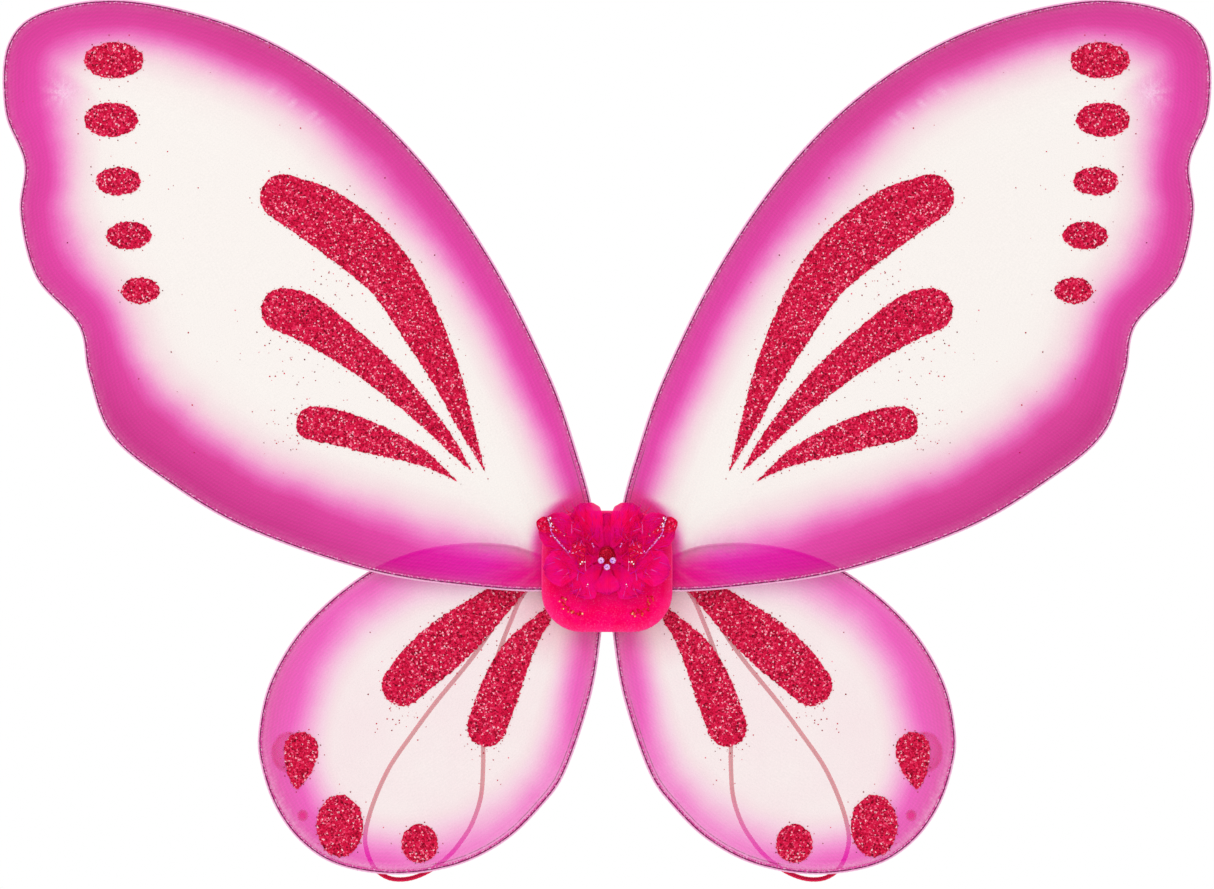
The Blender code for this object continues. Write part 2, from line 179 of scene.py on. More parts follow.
# Petals: (angle in degrees, length, width, layer from the back), mirrored for the left side.
SIDE_PETALS = {
    "petal_tip": (27, 37, 19, 0),
    "petal_upper": (61, 29, 18, 1),
    "petal_side": (-14, 32, 18, 1),
    "petal_lower": (-51, 25, 17, 0),
}
MIDDLE_PETALS = {"petal_top": (90, 21, 16, 0), "petal_bottom": (-90, 19, 13, 1)}
# Glitter petals: (start, end, width), mirrored, and all on one layer.
GLITTER_PETALS = {
    "glitter_petal_side": ((12.6, 2.8), (15.0, 15.2), 8),
    "glitter_petal_upper": ((22.5, 19.5), (34.5, 25.5), 8),
}
GLITTER_LAYER = 2
PETAL_START = 5.2
# A leaf-shaped petal's area, as a share of its length times its width.
PETAL_SHAPE = [(0, 0.14), (0.3, 0.46), (0.55, 0.86), (0.75, 1.0), (0.9, 0.72), (1, 0.16)]
BEADS = {"bead_left": (-2.9, 5.8), "bead_right": (2.9, 5.8), "bead_low": (0, 2.6)}
BEAD_RADIUS = 1.6
HEART_RADIUS = 4.2
HEART_DEPTH = 3.5
# Loose strands, each in this many steps. None near the middle rises past the pad's top edge.
FLUFF_STRANDS = 260
FLUFF_STEPS = 5
FLUFF_TOP = 30.0
TINSEL_SPINE = [(19, 9.4), (22, 12.8), (25.8, 17.2), (27.4, 20), (28, 24), (29.4, 27.6)]
# Where foil flakes sparkle on the petals.
SPARKLES = [(28.6, 26.8), (28.2, 25), (27.8, 23.2), (27.2, 21), (25.6, 17.4), (20.6, 19), (13.4, 3.6),
            (12, 5.2), (9.6, -6.6), (19.6, 10.4), (7.4, 14)]


# ---- camera and light


def place_camera():
    data = bpy.data.cameras.new("camera")
    data.lens = CAMERA_LENS
    data.sensor_width = 36
    camera = bpy.data.objects.new("camera", data)
    camera.location = CAMERA_PLACE
    camera.rotation_euler = (math.pi / 2, 0, 0)
    bpy.context.collection.objects.link(camera)
    bpy.context.scene.camera = camera


def light_studio():
    bpy.context.scene.view_settings.view_transform = "Standard"
    world = bpy.data.worlds.new("studio")
    world.use_nodes = True
    background = world.node_tree.nodes["Background"]
    background.inputs["Color"].default_value = (1, 1, 1, 1)
    background.inputs["Strength"].default_value = 1.0
    bpy.context.scene.world = world
    for name, (place, size, power) in LAMPS.items():
        data = bpy.data.lights.new(name, "AREA")
        data.size = size
        data.energy = power
        lamp = bpy.data.objects.new(name, data)
        lamp.location = place
        lamp.rotation_euler = (Vector(LAMP_TARGET) - Vector(place)).to_track_quat("-Z", "Y").to_euler()
        bpy.context.collection.objects.link(lamp)


# ---- shapes in the plane


def catmull_rom(points, steps, closed):
    """Points on the curve through these, with any extra columns carried along."""
    points = np.array(points, float)
    count = len(points)
    t = np.arange(steps)[:, None] / steps
    weights = np.hstack([
        (-t + 2 * t**2 - t**3) / 2,
        (2 - 5 * t**2 + 3 * t**3) / 2,
        (t + 4 * t**2 - 3 * t**3) / 2,
        (t**3 - t**2) / 2,
    ])
    made = []
    for i in range(count if closed else count - 1):
        near = [(i + k) % count if closed else min(max(i + k, 0), count - 1) for k in (-1, 0, 1, 2)]
        made.append(weights @ points[near])
    return np.vstack(made if closed else [*made, points[-1:]])


def evenly(line, spacing, closed, axes=2):
    """Points about this far apart along a line, measured in its first axes."""
    whole = np.vstack([line, line[:1]]) if closed else line
    steps = np.linalg.norm(np.diff(whole[:, :axes], axis=0), axis=1)
    ends = np.concatenate([[0], np.cumsum(steps)])
    count = max(4, round(ends[-1] / spacing))
    wanted = np.linspace(0, ends[-1], count if closed else count + 1, endpoint=not closed)
    return np.column_stack([np.interp(wanted, ends, column) for column in whole.T])


def inside(points, loop):
    x, z = points.T
    crossings = np.zeros(len(points), int)
    for (x0, z0), (x1, z1) in zip(loop, np.roll(loop, -1, 0), strict=True):
        if z0 != z1:
            crossings += ((z0 > z) != (z1 > z)) & (x < (x1 - x0) * (z - z0) / (z1 - z0) + x0)
    return crossings % 2 == 1


def tree_of(loop):
    """A tree that finds the loop's points near a place."""
    tree = kdtree.KDTree(len(loop))
    for i, row in enumerate(loop):
        tree.insert((row[0], row[1], 0), i)
    tree.balance()
    return tree


def distances(points, loop):
    """How far each point is from the loop's nearest point."""
    tree = tree_of(loop)
    return np.array([tree.find((x, z, 0))[2] for x, z in points])


def grid_inside(loop, spacing, margin, keep=None):
    """A triangular grid of points inside a loop, at least a margin from it."""
    low, high = loop.min(0), loop.max(0)
    rise = spacing * 0.866
    rows = int((high[1] - low[1]) / rise) + 2
    columns = int((high[0] - low[0]) / spacing) + 2
    j, i = np.mgrid[0:rows, 0:columns]
    points = np.column_stack([(low[0] + spacing * (i + 0.5 * (j % 2))).ravel(), (low[1] + rise * j).ravel()])
    if keep is not None:
        points = points[keep(points, (j % 2 == 0).ravel() & (i % 2 == 0).ravel())]
    points = points[inside(points, loop)]
    return points[distances(points, loop) > margin] if len(points) else points


def filled(loop, inner):
    """The points and triangles that fill a closed loop, using these points inside it."""
    places = [Vector(row) for row in np.vstack([loop, inner])]
    edges = [(i, (i + 1) % len(loop)) for i in range(len(loop))]
    points, _, faces, *_ = geometry.delaunay_2d_cdt(places, edges, [], 1, 1e-5)
    return np.array([tuple(p) for p in points]), [tuple(f) for f in faces]


def rounded_rectangle(width, height, radius, steps=9):
    made = []
    for corner in range(4):
        cx = (width / 2 - radius) * (1 if corner in (0, 3) else -1)
        cz = (height / 2 - radius) * (1 if corner in (0, 1) else -1)
        for step in range(steps + 1):
            angle = math.pi / 2 * (corner + step / steps)
            made.append((cx + radius * math.cos(angle), cz + radius * math.sin(angle)))
    return np.array(made)


def polygon_area(loop):
    """Positive for an anticlockwise loop."""
    x, z = loop.T
    return float(np.sum(x * np.roll(z, -1) - np.roll(x, -1) * z)) / 2


def directions(line):
    """The unit direction of a closed line at each of its points."""
    ahead = np.roll(line, -1, 0) - np.roll(line, 1, 0)
    return ahead / np.linalg.norm(ahead, axis=1)[:, None]


def normals_of(loop):
    """The inward directions of a closed clockwise loop of (x, z) points."""
    along = directions(loop)
    return np.column_stack([along[:, 1], -along[:, 0]])


# ---- faces


def ring_faces(rings, sides, shift=0, ends="open"):
    """The faces between rings of points. The two end rings stay "open", are "joined" or get "caps"."""
    faces = []
    for ring in range(rings if ends == "joined" else rings - 1):
        low, high = shift + ring * sides, shift + (ring + 1) % rings * sides
        faces += [(low + k, low + (k + 1) % sides, high + (k + 1) % sides, high + k) for k in range(sides)]
    if ends == "caps":
        faces.append(tuple(reversed(range(shift, shift + sides))))
        faces.append(tuple(range(shift + (rings - 1) * sides, shift + rings * sides)))
    return faces


def grid_faces(rows, columns):
    wide = columns + 1
    starts = [row * wide + column for row in range(rows) for column in range(columns)]
    return [(a, a + 1, a + wide + 1, a + wide) for a in starts]


def turned(quads):
    """The same faces, looking the other way."""
    return [(a, d, c, b) for a, b, c, d in quads]


def halved(quads):
    """Two triangles for each face of four corners."""
    return [face for a, b, c, d in quads for face in ((a, b, c), (a, c, d))]


# ---- pieces


def piece(name, points, faces, look, side=1, smooth=True, on_points=None, on_faces=None):
    """A mesh piece from right-side points in millimetres, mirrored for side -1, with named values."""
    points = np.array(points, float)
    placed = points * MM
    placed[:, 0] *= side
    if side < 0:
        faces = [tuple(reversed(face)) for face in faces]
    mesh = bpy.data.meshes.new(name)
    mesh.from_pydata(placed.tolist(), [], [tuple(int(i) for i in face) for face in faces])
    values = {"rest": points, **(on_points or {})}
    for key, data in values.items():
        data = np.array(data, np.float32)
        kind = "FLOAT_VECTOR" if data.ndim == 2 else "FLOAT"
        layer = mesh.attributes.new(key, kind, "POINT")
        layer.data.foreach_set("vector" if data.ndim == 2 else "value", data.ravel())
    for key, data in (on_faces or {}).items():
        layer = mesh.attributes.new(key, "FLOAT", "FACE")
        layer.data.foreach_set("value", np.array(data, np.float32))
    if smooth:
        mesh.shade_smooth()
    else:
        mesh.shade_flat()
    mesh.materials.append(look)
    obj = bpy.data.objects.new(name, mesh)
    bpy.context.collection.objects.link(obj)
    return obj


def faceted(name, shape, look, side=1):
    """A piece of glitter or foil, from its points, its faces and each face's painted brightness, running
    from painted shade to a painted glint.
    """
    places, faces, glint_and_shade = shape
    return piece(name, places, faces, look, side, smooth=False, on_faces={"glint_and_shade": glint_and_shade})


def on_wing(obj, wing, side_name):
    """The piece rides on the wing if it lies past the bend; otherwise its placement is applied to its points
    and it rides on nothing.
    """
    side, angle = SIDES[side_name], BEND_ANGLE[wing]
    out = Vector((side * math.cos(angle), 0, math.sin(angle)))
    body = f"{wing}_{side_name}_wing"
    nearest_point = min(vertex.co.dot(out) for vertex in obj.data.vertices)
    if nearest_point > (BEND_OFFSET + BEND_HALF) * MM:
        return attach(obj, body)
    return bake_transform(obj)


def on_centre(obj, slot, *nodes):
    """The piece rides on the centre, in place of any nodes named."""
    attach(obj, "centre")
    if nodes:
        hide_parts(*nodes)


def tube(name, line, radius, look, side=1, closed=False, sides=10, ripple=0.0, pitch=2.0):
    """A round tube along (x, y, z) points. "across" runs from -1 on the outside of a clockwise loop to 1
    inside it, "turn" round the tube and "run" along it."""
    line = np.array(line, float)
    ahead = directions(line)
    if not closed:
        for end, step in ((0, line[1] - line[0]), (-1, line[-1] - line[-2])):
            ahead[end] = step / np.linalg.norm(step)
    inward = np.cross(ahead, np.array([0.0, -1.0, 0.0]))
    inward /= np.linalg.norm(inward, axis=1)[:, None]
    out = np.cross(inward, ahead)
    run = np.concatenate([[0], np.cumsum(np.linalg.norm(np.diff(line, axis=0), axis=1))])
    points, across, along, around = [], [], [], []
    for i, place in enumerate(line):
        for turn in np.arange(sides) / sides * 2 * math.pi:
            wide = radius * (1 + ripple * math.sin(2 * math.pi * run[i] / pitch + 2 * turn))
            points.append(place + wide * (math.cos(turn) * out[i] + math.sin(turn) * inward[i]))
            across.append(math.sin(turn))
            along.append(run[i])
            around.append(turn)
    faces = ring_faces(len(line), sides, ends="joined" if closed else "caps")
    values = {"across": across, "run": along, "turn": around}
    return piece(name, points, faces, look, side, on_points=values)


def pillow(name, loop, y_back, y_front, look, crown=0.3, rim=0.9, side=1):
    """A soft plate with rounded edges and a slight crown on both faces."""
    depth = (y_back - y_front) / 2
    middle = (y_back + y_front) / 2
    centre = loop.mean(0)
    reach = np.linalg.norm(loop - centre, axis=1).mean()
    # The rounded rim and then the face, as (distance in from the edge, height).
    profile = [(rim * (1 - math.cos(math.pi / 2 * s / 5)), math.sin(math.pi / 2 * s / 5)) for s in range(6)]
    for share in (0.12, 0.3, 0.5, 0.72):
        profile.append((rim + (reach - rim) * share, 1 + crown * (1 - (1 - share) ** 2)))
    points, rim_highlight_share = [], []
    for sign in (1, -1):
        for inset, height in profile:
            scale = (reach - inset) / reach
            for x, z in centre + (loop - centre) * scale:
                wobble = 0.12 * noise.noise((x * 0.35, z * 0.35, sign * 5))
                points.append((x, middle - sign * (depth * height + wobble * height), z))
                # The rounded rim's share of the felt's painted highlight, strongest at the edge.
                rim_highlight_share.append(max(0.0, 1 - inset / (1.6 * rim)))
        points.append((centre[0], middle - sign * depth * (1 + crown), centre[1]))
        rim_highlight_share.append(0)
    count, half = len(loop), len(profile) * len(loop) + 1
    faces = []
    for sign, shift in ((1, 0), (-1, half)):
        tip = shift + half - 1
        cap = [(tip - count + i, tip - count + (i + 1) % count, tip) for i in range(count)]
        faces += [face[::sign] for face in ring_faces(len(profile), count, shift) + cap]
    for i in range(count):
        j = (i + 1) % count
        faces.append((i, half + i, half + j, j))
    return piece(name, points, faces, look, side, on_points={"rim": rim_highlight_share})


# ---- materials


def linear(colour):
    """Light levels for 0-255 screen values."""
    return [((v / 255 + 0.055) / 1.055) ** 2.4 if v > 10 else v / 255 / 12.92 for v in colour]


def rgb(red, green, blue, gain=1.0):
    """A colour from 0-255 screen values, scaled for the studio's light."""
    return (*(min(1.0, v * gain / LIGHT) for v in linear((red, green, blue))), 1)


class Look:
    """One material, built round its Principled shader."""

    def __init__(self, name, roughness, specular, metallic=0.0, coat=0.0):
        self.material = bpy.data.materials.new(name)
        self.material.use_nodes = True
        self.tree = self.material.node_tree
        self.shader = self.tree.nodes["Principled BSDF"]
        levels = {"Roughness": roughness, "Specular IOR Level": specular, "Metallic": metallic,
                  "Coat Weight": coat}
        for name_of_input, level in levels.items():
            self.shader.inputs[name_of_input].default_value = level

    def feed(self, socket, value):
        if isinstance(value, bpy.types.NodeSocket):
            self.tree.links.new(value, socket)
        else:
            socket.default_value = value

    def node(self, kind, inputs, output=0, **settings):
        made = self.tree.nodes.new("ShaderNode" + kind)
        for key, value in settings.items():
            setattr(made, key, value)
        for key, value in inputs.items():
            self.feed(made.inputs[key], value)
        return made.outputs[output]

    def value(self, name):
        return self.node("Attribute", {}, "Fac", attribute_name=name)

    def rest(self):
        return self.node("Attribute", {}, "Vector", attribute_name="rest")

    def object_place(self):
        return self.node("TexCoord", {}, "Object")

    def math(self, operation, a, b=0.0):
        return self.node("Math", {0: a, 1: b}, operation=operation)

    def times(self, a, b):
        return self.math("MULTIPLY", a, b)

    def plus(self, a, b):
        return self.math("ADD", a, b)

    def minus(self, a, b):
        return self.math("SUBTRACT", a, b)

    def blend(self, share, a, b):
        return self.node("Mix", {0: share, 6: a, 7: b}, 2, data_type="RGBA")

    def level(self, share, a, b):
        return self.node("Mix", {0: share, 2: a, 3: b}, 0, data_type="FLOAT")

    def noise(self, where, scale, detail=3.0):
        return self.node("TexNoise", {"Vector": where, "Scale": scale, "Detail": detail}, 0)

    def cells(self, where, scale):
        return self.node("TexVoronoi", {"Vector": where, "Scale": scale}, "Distance")

    def ramp(self, share, stops):
        made = self.tree.nodes.new("ShaderNodeValToRGB")
        elements = made.color_ramp.elements
        while len(elements) < len(stops):
            elements.new(0.5)
        for element, (place, colour) in zip(elements, stops, strict=True):
            element.position = place
            element.color = colour if hasattr(colour, "__len__") else (colour, colour, colour, 1)
        self.feed(made.inputs[0], share)
        return made.outputs[0]

    def colour(self, socket):
        self.feed(self.shader.inputs["Base Color"], socket)

    def bump(self, height, distance, strength=1.0):
        made = self.node("Bump", {"Height": height, "Distance": distance * MM, "Strength": strength})
        self.feed(self.shader.inputs["Normal"], made)


# Painted nylon seen over white: (share of the border's width, the magenta dye, the rose dye, how solid).
NYLON_DYE = [
    (0.00, (226, 70, 166), (204, 56, 140), 0.96), (0.40, (238, 80, 186), (220, 66, 156), 0.94),
    (0.52, (242, 110, 197), (230, 98, 178), 0.90), (0.65, (244, 148, 209), (238, 140, 199), 0.82),
    (0.78, (245, 184, 217), (243, 182, 214), 0.72), (0.90, (246, 210, 226), (245, 208, 222), 0.62),
    (1.00, (246, 222, 227), (245, 222, 227), 0.56), (1.25, (248, 240, 237), (248, 239, 236), 0.51),
    (1.60, (249, 243, 239), (249, 243, 239), 0.48),
]
SHARE_START = -0.3
SHARE_END = 1.6
# The pale of the cloth beside the hem, also painted as a highlight on the upper wing's pucker.
PALE_HEM_AND_HIGHLIGHT = (250, 208, 234)
PALE_HEM_AND_HIGHLIGHT_SOLID = 0.72
SEAM_INSET = 3.4
# Glitter ramps over each facet's painted brightness: the darkest stops are painted shade, the middle stops
# the foil's own colour and the palest stops painted glints.
GLITTER_RED = [
    (0.00, rgb(100, 0, 22)), (0.12, rgb(156, 0, 38)), (0.30, rgb(196, 4, 54)), (0.64, rgb(218, 14, 66)),
    (0.86, rgb(232, 44, 92)), (0.95, rgb(246, 110, 142)), (1.00, rgb(255, 206, 216)),
]
GLITTER_HOT = [
    (0.00, rgb(160, 0, 50)), (0.35, rgb(222, 0, 62)), (0.82, rgb(242, 4, 70)), (0.94, rgb(246, 40, 110)),
    (1.00, rgb(252, 190, 240)),
]
GLITTER_DARK = [
    (0.00, rgb(120, 0, 20)), (0.45, rgb(176, 0, 34)), (0.85, rgb(206, 4, 50)), (1.00, rgb(236, 50, 90)),
]
GLITTER_GOLD = [
    (0.00, rgb(186, 0, 30)), (0.60, rgb(228, 18, 40)), (0.85, rgb(242, 84, 66)), (1.00, rgb(255, 214, 160)),
]


def behind_white(colour, solid):
    """The cloth's own colour, if it shows this colour over white at this solidity."""
    own = [(v - (1 - solid)) / solid / LIGHT - 0.006 for v in linear(colour)]
    return (*(min(1.0, max(0.0, v)) for v in own), 1)


def dye(look, where):
    """The place across the painted border from 0 to 1, the dye's colour there and its solidity."""
    drift = look.minus(look.noise(where, 0.035, 4), 0.5)
    grain = look.minus(look.noise(where, 0.9, 2), 0.5)
    share = look.plus(look.value("share"), look.times(drift, 0.22))
    share = look.plus(share, look.times(grain, 0.05))
    place = look.math("DIVIDE", look.minus(share, SHARE_START), SHARE_END - SHARE_START)
    magenta, rose, solidity = [], [], []
    for share_of_width, magenta_dye, rose_dye, solid in NYLON_DYE:
        at = (share_of_width - SHARE_START) / (SHARE_END - SHARE_START)
        magenta.append((at, behind_white(magenta_dye, solid)))
        rose.append((at, behind_white(rose_dye, solid)))
        solidity.append((at, solid))
    colour = look.blend(look.value("tone"), look.ramp(place, magenta), look.ramp(place, rose))
    return place, colour, look.ramp(place, solidity)


def knit(look, where, place, edge):
    """The fine knit. It runs aslant, and shows less towards the middle of the wing."""
    wander = look.times(look.noise(where, 0.12, 2), 5.0)
    slant = look.node("VectorMath", {0: where, 1: (2.6, 0.0, 3.4)}, "Value", operation="DOT_PRODUCT")
    aslant = look.math("SINE", look.plus(slant, wander))
    ribs = look.plus(aslant, look.math("SINE", look.plus(look.times(edge, 3.3), wander)))
    ribs = look.times(ribs, look.ramp(place, [(0.16, 1.0), (0.6, 0.15)]))
    speck = look.ramp(look.noise(where, 1.6, 1), [(0.3, 0.0), (0.75, 1.0)])
    return look.plus(look.times(ribs, 0.45), look.times(speck, 0.8))


def nylon_look():
    look = Look("painted_nylon", roughness=0.5, specular=0.05)
    where = look.rest()
    place, colour, solid = dye(look, where)
    root = look.value("root")
    colour = look.blend(root, colour, rgb(232, 8, 124))
    solid = look.level(root, look.times(solid, look.value("thin")), 0.99)
    # Little dye reached the cloth where it turns over the wire, so it is pale beside the hem; the same pale
    # is painted highlight on the upper wing's pucker and runs in a thin line along its crease.
    pale_hem_and_highlight = look.times(look.value("pale_hem_and_highlight"), look.ramp(look.noise(where, 0.8, 3), [(0.3, 0.35), (0.65, 1.0)]))
    colour = look.blend(pale_hem_and_highlight, colour, behind_white(PALE_HEM_AND_HIGHLIGHT, PALE_HEM_AND_HIGHLIGHT_SOLID))
    solid = look.level(pale_hem_and_highlight, solid, PALE_HEM_AND_HIGHLIGHT_SOLID)
    edge = look.value("edge")
    shade = knit(look, where, place, edge)
    # Painted shade along the pleats at the root and in the band of fine wrinkles.
    colour = look.blend(look.value("crease"), colour, rgb(214, 128, 170))
    # A second line of thread runs along part of the hem.
    thread = look.ramp(look.math("ABSOLUTE", look.minus(edge, SEAM_INSET)), [(0.12, 1.0), (0.34, 0.0)])
    thread = look.times(thread, look.value("seam"))
    thread = look.times(thread, look.ramp(look.noise(where, 0.9, 2), [(0.36, 0.35), (0.52, 0.95)]))
    colour = look.blend(thread, colour, rgb(140, 20, 92))
    shaded = {"Value": look.level(shade, 0.93, 1.07), "Color": colour, "Fac": 1.0}
    look.colour(look.node("HueSaturation", shaded))
    look.feed(look.shader.inputs["Alpha"], solid)
    look.bump(shade, 0.12, 0.5)
    return look.material


def hem_look():
    """Rolled nylon with a broken dark line of thread, paler on its outer side."""
    look = Look("hem", roughness=0.5, specular=0.2)
    where = look.rest()
    across = look.value("across")
    run = look.value("run")
    pale = rgb(250, 190, 226)
    broken = look.noise(look.node("CombineXYZ", {0: look.times(run, 0.42), 1: across}), 1.0, 2)
    line = look.ramp(look.math("ABSOLUTE", look.minus(across, 0.1)), [(0.14, 1.0), (0.36, 0.0)])
    line = look.times(line, look.ramp(broken, [(0.34, 0.25), (0.46, 1.0)]))
    fringe = look.ramp(look.times(across, -1.0), [(0.12, 0.0), (0.45, 0.9)])
    flecks = look.ramp(look.noise(where, 1.1, 2), [(0.50, 0.0), (0.62, 0.8)])
    colour = look.blend(look.noise(where, 0.05, 2), rgb(205, 52, 138), rgb(232, 78, 172))
    colour = look.blend(flecks, colour, pale)
    colour = look.blend(fringe, colour, pale)
    look.colour(look.blend(line, colour, rgb(96, 8, 62)))
    look.bump(look.math("SINE", look.plus(look.times(run, 3.6), look.value("turn"))), 0.1, 0.7)
    return look.material


def glitter_look(name, stops):
    """Foil flakes: each facet has a painted brightness from 0 to 1, running from painted shade through the
    foil's own colour to a painted glint.
    """
    look = Look(name, roughness=0.45, specular=0.06)
    glint_and_shade = look.value("glint_and_shade")
    fine = look.minus(look.noise(look.rest(), 2.2, 2), 0.5)
    glint_and_shade = look.plus(glint_and_shade, look.times(fine, 0.18))
    look.colour(look.ramp(glint_and_shade, stops))
    look.bump(look.cells(look.rest(), 1.9), 0.12, 0.6)
    return look.material


def stain_look():
    look = Look("stain", roughness=0.5, specular=0.1)
    where = look.rest()
    colour = look.blend(look.noise(where, 0.4, 3), rgb(226, 24, 124), rgb(240, 60, 156))
    look.colour(colour)
    solid = look.ramp(look.math("DIVIDE", look.value("fade"), 2.0), [(0.0, 0.0), (0.5, 0.55), (1.0, 0.9)])
    look.feed(look.shader.inputs["Alpha"], solid)
    return look.material


def felt_look(name, main, light, rim):
    look = Look(name, roughness=0.95, specular=0.0)
    where = look.rest()
    soft = look.noise(where, 0.13, 4)
    fibre = look.noise(where, 1.7, 5)
    colour = look.blend(look.ramp(soft, [(0.35, 0.0), (0.7, 1.0)]), main, light)
    colour = look.blend(look.ramp(fibre, [(0.55, 0.0), (0.8, 0.35)]), colour, rim)
    # A painted highlight along the rounded rim, broken up by the fibres.
    edge = look.math("MULTIPLY", look.value("rim"), look.ramp(fibre, [(0.3, 0.15), (0.6, 0.45)]))
    look.colour(look.blend(edge, colour, rim))
    look.bump(fibre, 0.35, 0.5)
    return look.material


def elastic_look():
    look = Look("braided_elastic", roughness=0.7, specular=0.15)
    along, around = look.times(look.value("run"), 5.2), look.times(look.value("turn"), 3.0)
    strands = [look.math("SINE", joined(along, around)) for joined in (look.plus, look.minus)]
    braid = look.math("MAXIMUM", *strands)
    drift = look.noise(look.rest(), 0.3, 3)
    colour = look.blend(look.ramp(braid, [(0.1, 0.0), (0.9, 1.0)]), rgb(196, 4, 50), rgb(250, 26, 92))
    look.colour(look.blend(look.ramp(drift, [(0.3, 0.0), (0.8, 0.4)]), colour, rgb(222, 8, 60)))
    look.bump(braid, 0.18, 0.8)
    return look.material


def petal_look():
    """Organza. Loose strands of tulle, where "strand" is 1, take their colour from "tint"."""
    look = Look("organza", roughness=0.6, specular=0.04)
    where = look.rest()
    along, across = look.value("along"), look.math("ABSOLUTE", look.value("across"))
    soft = look.noise(where, 0.16, 4)
    red, magenta = rgb(248, 0, 92, 1.08), rgb(240, 2, 124, 1.06)
    colour = look.blend(look.ramp(soft, [(0.35, 0.0), (0.65, 1.0)]), red, magenta)
    colour = look.blend(look.ramp(along, [(0.72, 0.0), (1.0, 0.5)]), colour, rgb(228, 14, 140))
    colour = look.blend(look.value("strand"), colour, look.ramp(look.value("tint"), [
        (0.0, rgb(206, 0, 60)), (0.4, rgb(244, 0, 84)), (0.7, rgb(238, 0, 118)), (0.88, rgb(206, 4, 148)),
        (1.0, rgb(244, 90, 180)),
    ]))
    fold = look.ramp(look.noise(where, 0.5, 3), [(0.56, 0.0), (0.72, 0.6)])
    fold = look.times(fold, look.ramp(across, [(0.3, 0.2), (1.0, 1.0)]))
    look.colour(look.blend(fold, colour, rgb(240, 40, 150)))
    solid = look.ramp(across, [(0.55, 0.98), (0.92, 0.96), (1.0, 0.88)])
    solid = look.times(solid, look.ramp(along, [(0.9, 1.0), (1.0, 0.93)]))
    look.feed(look.shader.inputs["Alpha"], solid)
    thread = look.math("SINE", look.times(look.value("across"), 46.0))
    look.bump(look.plus(thread, look.times(soft, 4.0)), 0.12, 0.7)
    return look.material


def tinsel_look():
    look = Look("tinsel", roughness=0.2, specular=0.5, metallic=0.5)
    glint_and_shade = look.plus(look.value("glint_and_shade"), look.times(look.noise(look.rest(), 1.1, 1), 0.1))
    # The dark end of the ramp is painted shade and the white end a painted glint.
    look.colour(look.ramp(glint_and_shade, [
        (0.0, rgb(70, 10, 50)), (0.16, rgb(170, 10, 90)), (0.34, rgb(232, 30, 160)),
        (0.66, rgb(216, 80, 206)), (0.86, rgb(240, 170, 246)), (1.0, rgb(255, 255, 255, 1.1)),
    ]))
    return look.material


def bead_look():
    look = Look("pearl_bead", roughness=0.12, specular=0.6, coat=0.6)
    sheen_swirl = look.noise(look.rest(), 1.3, 2)
    # The swirl paints the pearl's sheen: white highlights between lilac and purple.
    look.colour(look.ramp(sheen_swirl, [
        (0.32, rgb(150, 70, 220)), (0.42, rgb(232, 130, 240)), (0.50, rgb(252, 236, 255)),
        (0.58, rgb(226, 140, 240)), (0.68, rgb(170, 60, 205)),
    ]))
    return look.material


def board_look(name, dark, light, scale):
    """Pressed card or woven tape on the parts that the pads cover."""
    look = Look(name, roughness=0.85, specular=0.1)
    where = look.object_place()
    fleck = look.noise(where, 420.0, 4)
    weave = look.node("TexWave", {"Vector": where, "Scale": scale, "Distortion": 1.5}, 0)
    look.colour(look.blend(look.math("MULTIPLY", fleck, weave), dark, light))
    look.bump(weave, 0.08, 0.5)
    return look.material


# ---- wings


def pleats(wing, points):
    """The height of the pleats that spread from where the cloth is gathered, and how far off that is."""
    x, z = points.T
    gather_x, gather_z = GATHERS[wing]
    turn, reach = np.arctan2(z - gather_z, x - gather_x), np.hypot(x - gather_x, z - gather_z)
    waves = 0.2 * np.sin(turn * 17 + 1.4 * np.sin(turn * 5)) if wing == "upper" else 0.3 * np.sin(turn * 23)
    return waves * np.exp(-reach / 46) * np.clip(reach / 11, 0, 1), reach


def pucker(points):
    """Each point's distance from the pucker and its direction."""
    x, z = (points - PUCKER).T
    return np.hypot(x, z), np.arctan2(z, x)


def crease_distance(points):
    """Each point's distance to the short crease near the upper wing's leading edge."""
    x, z = (points - CREASE).T
    along_x, along_z = CREASE_ALONG
    beyond = np.maximum(np.abs(x * along_x + z * along_z) - CREASE_HALF, 0)
    return np.hypot(x * along_z - z * along_x, beyond)


def relief(wing, points):
    """How far the cloth stands off its flat plane, away from the wearer, in millimetres."""
    x, z = points.T
    folds, _ = pleats(wing, points)
    if wing == "upper":
        tug, turn = pucker(points)
        folds += np.exp(-((tug / 9) ** 2)) * (0.35 * np.sin(turn * 7) * np.clip(tug / 3, 0, 1) - 0.5)
        folds += 0.35 * np.exp(-((crease_distance(points) / 1.6) ** 2))
    return folds + 0.45 * np.sin(x / 23 + np.cos(z / 31)) * np.sin(z / 27 + 0.6)


def boundary_of(wing, spacing):
    """The wing's outline at even spacing with its border's values, moved in to the hem's middle."""
    loop = evenly(catmull_rom(OUTLINES[wing], 14, closed=True), spacing, closed=True)
    loop[:, :2] += normals_of(loop[:, :2]) * HEM_RADIUS
    return loop


def border_of(wing, points):
    """Each point's distance from the hem's middle, and the border's width, rose and fade there."""
    loop = boundary_of(wing, 0.8)
    tree = tree_of(loop)
    reach, values = [], []
    for x, z in points:
        away = tree.find((x, z, 0))[2]
        near = tree.find_range((x, z, 0), away + BORDER_BLUR)
        weights = np.array([max(0.05, 1 - (n[2] - away) / BORDER_BLUR) ** 2 for n in near])
        values.append((loop[[n[1] for n in near], 2:5] * weights[:, None]).sum(0) / weights.sum())
        reach.append(away)
    return np.array(reach), *np.array(values).T


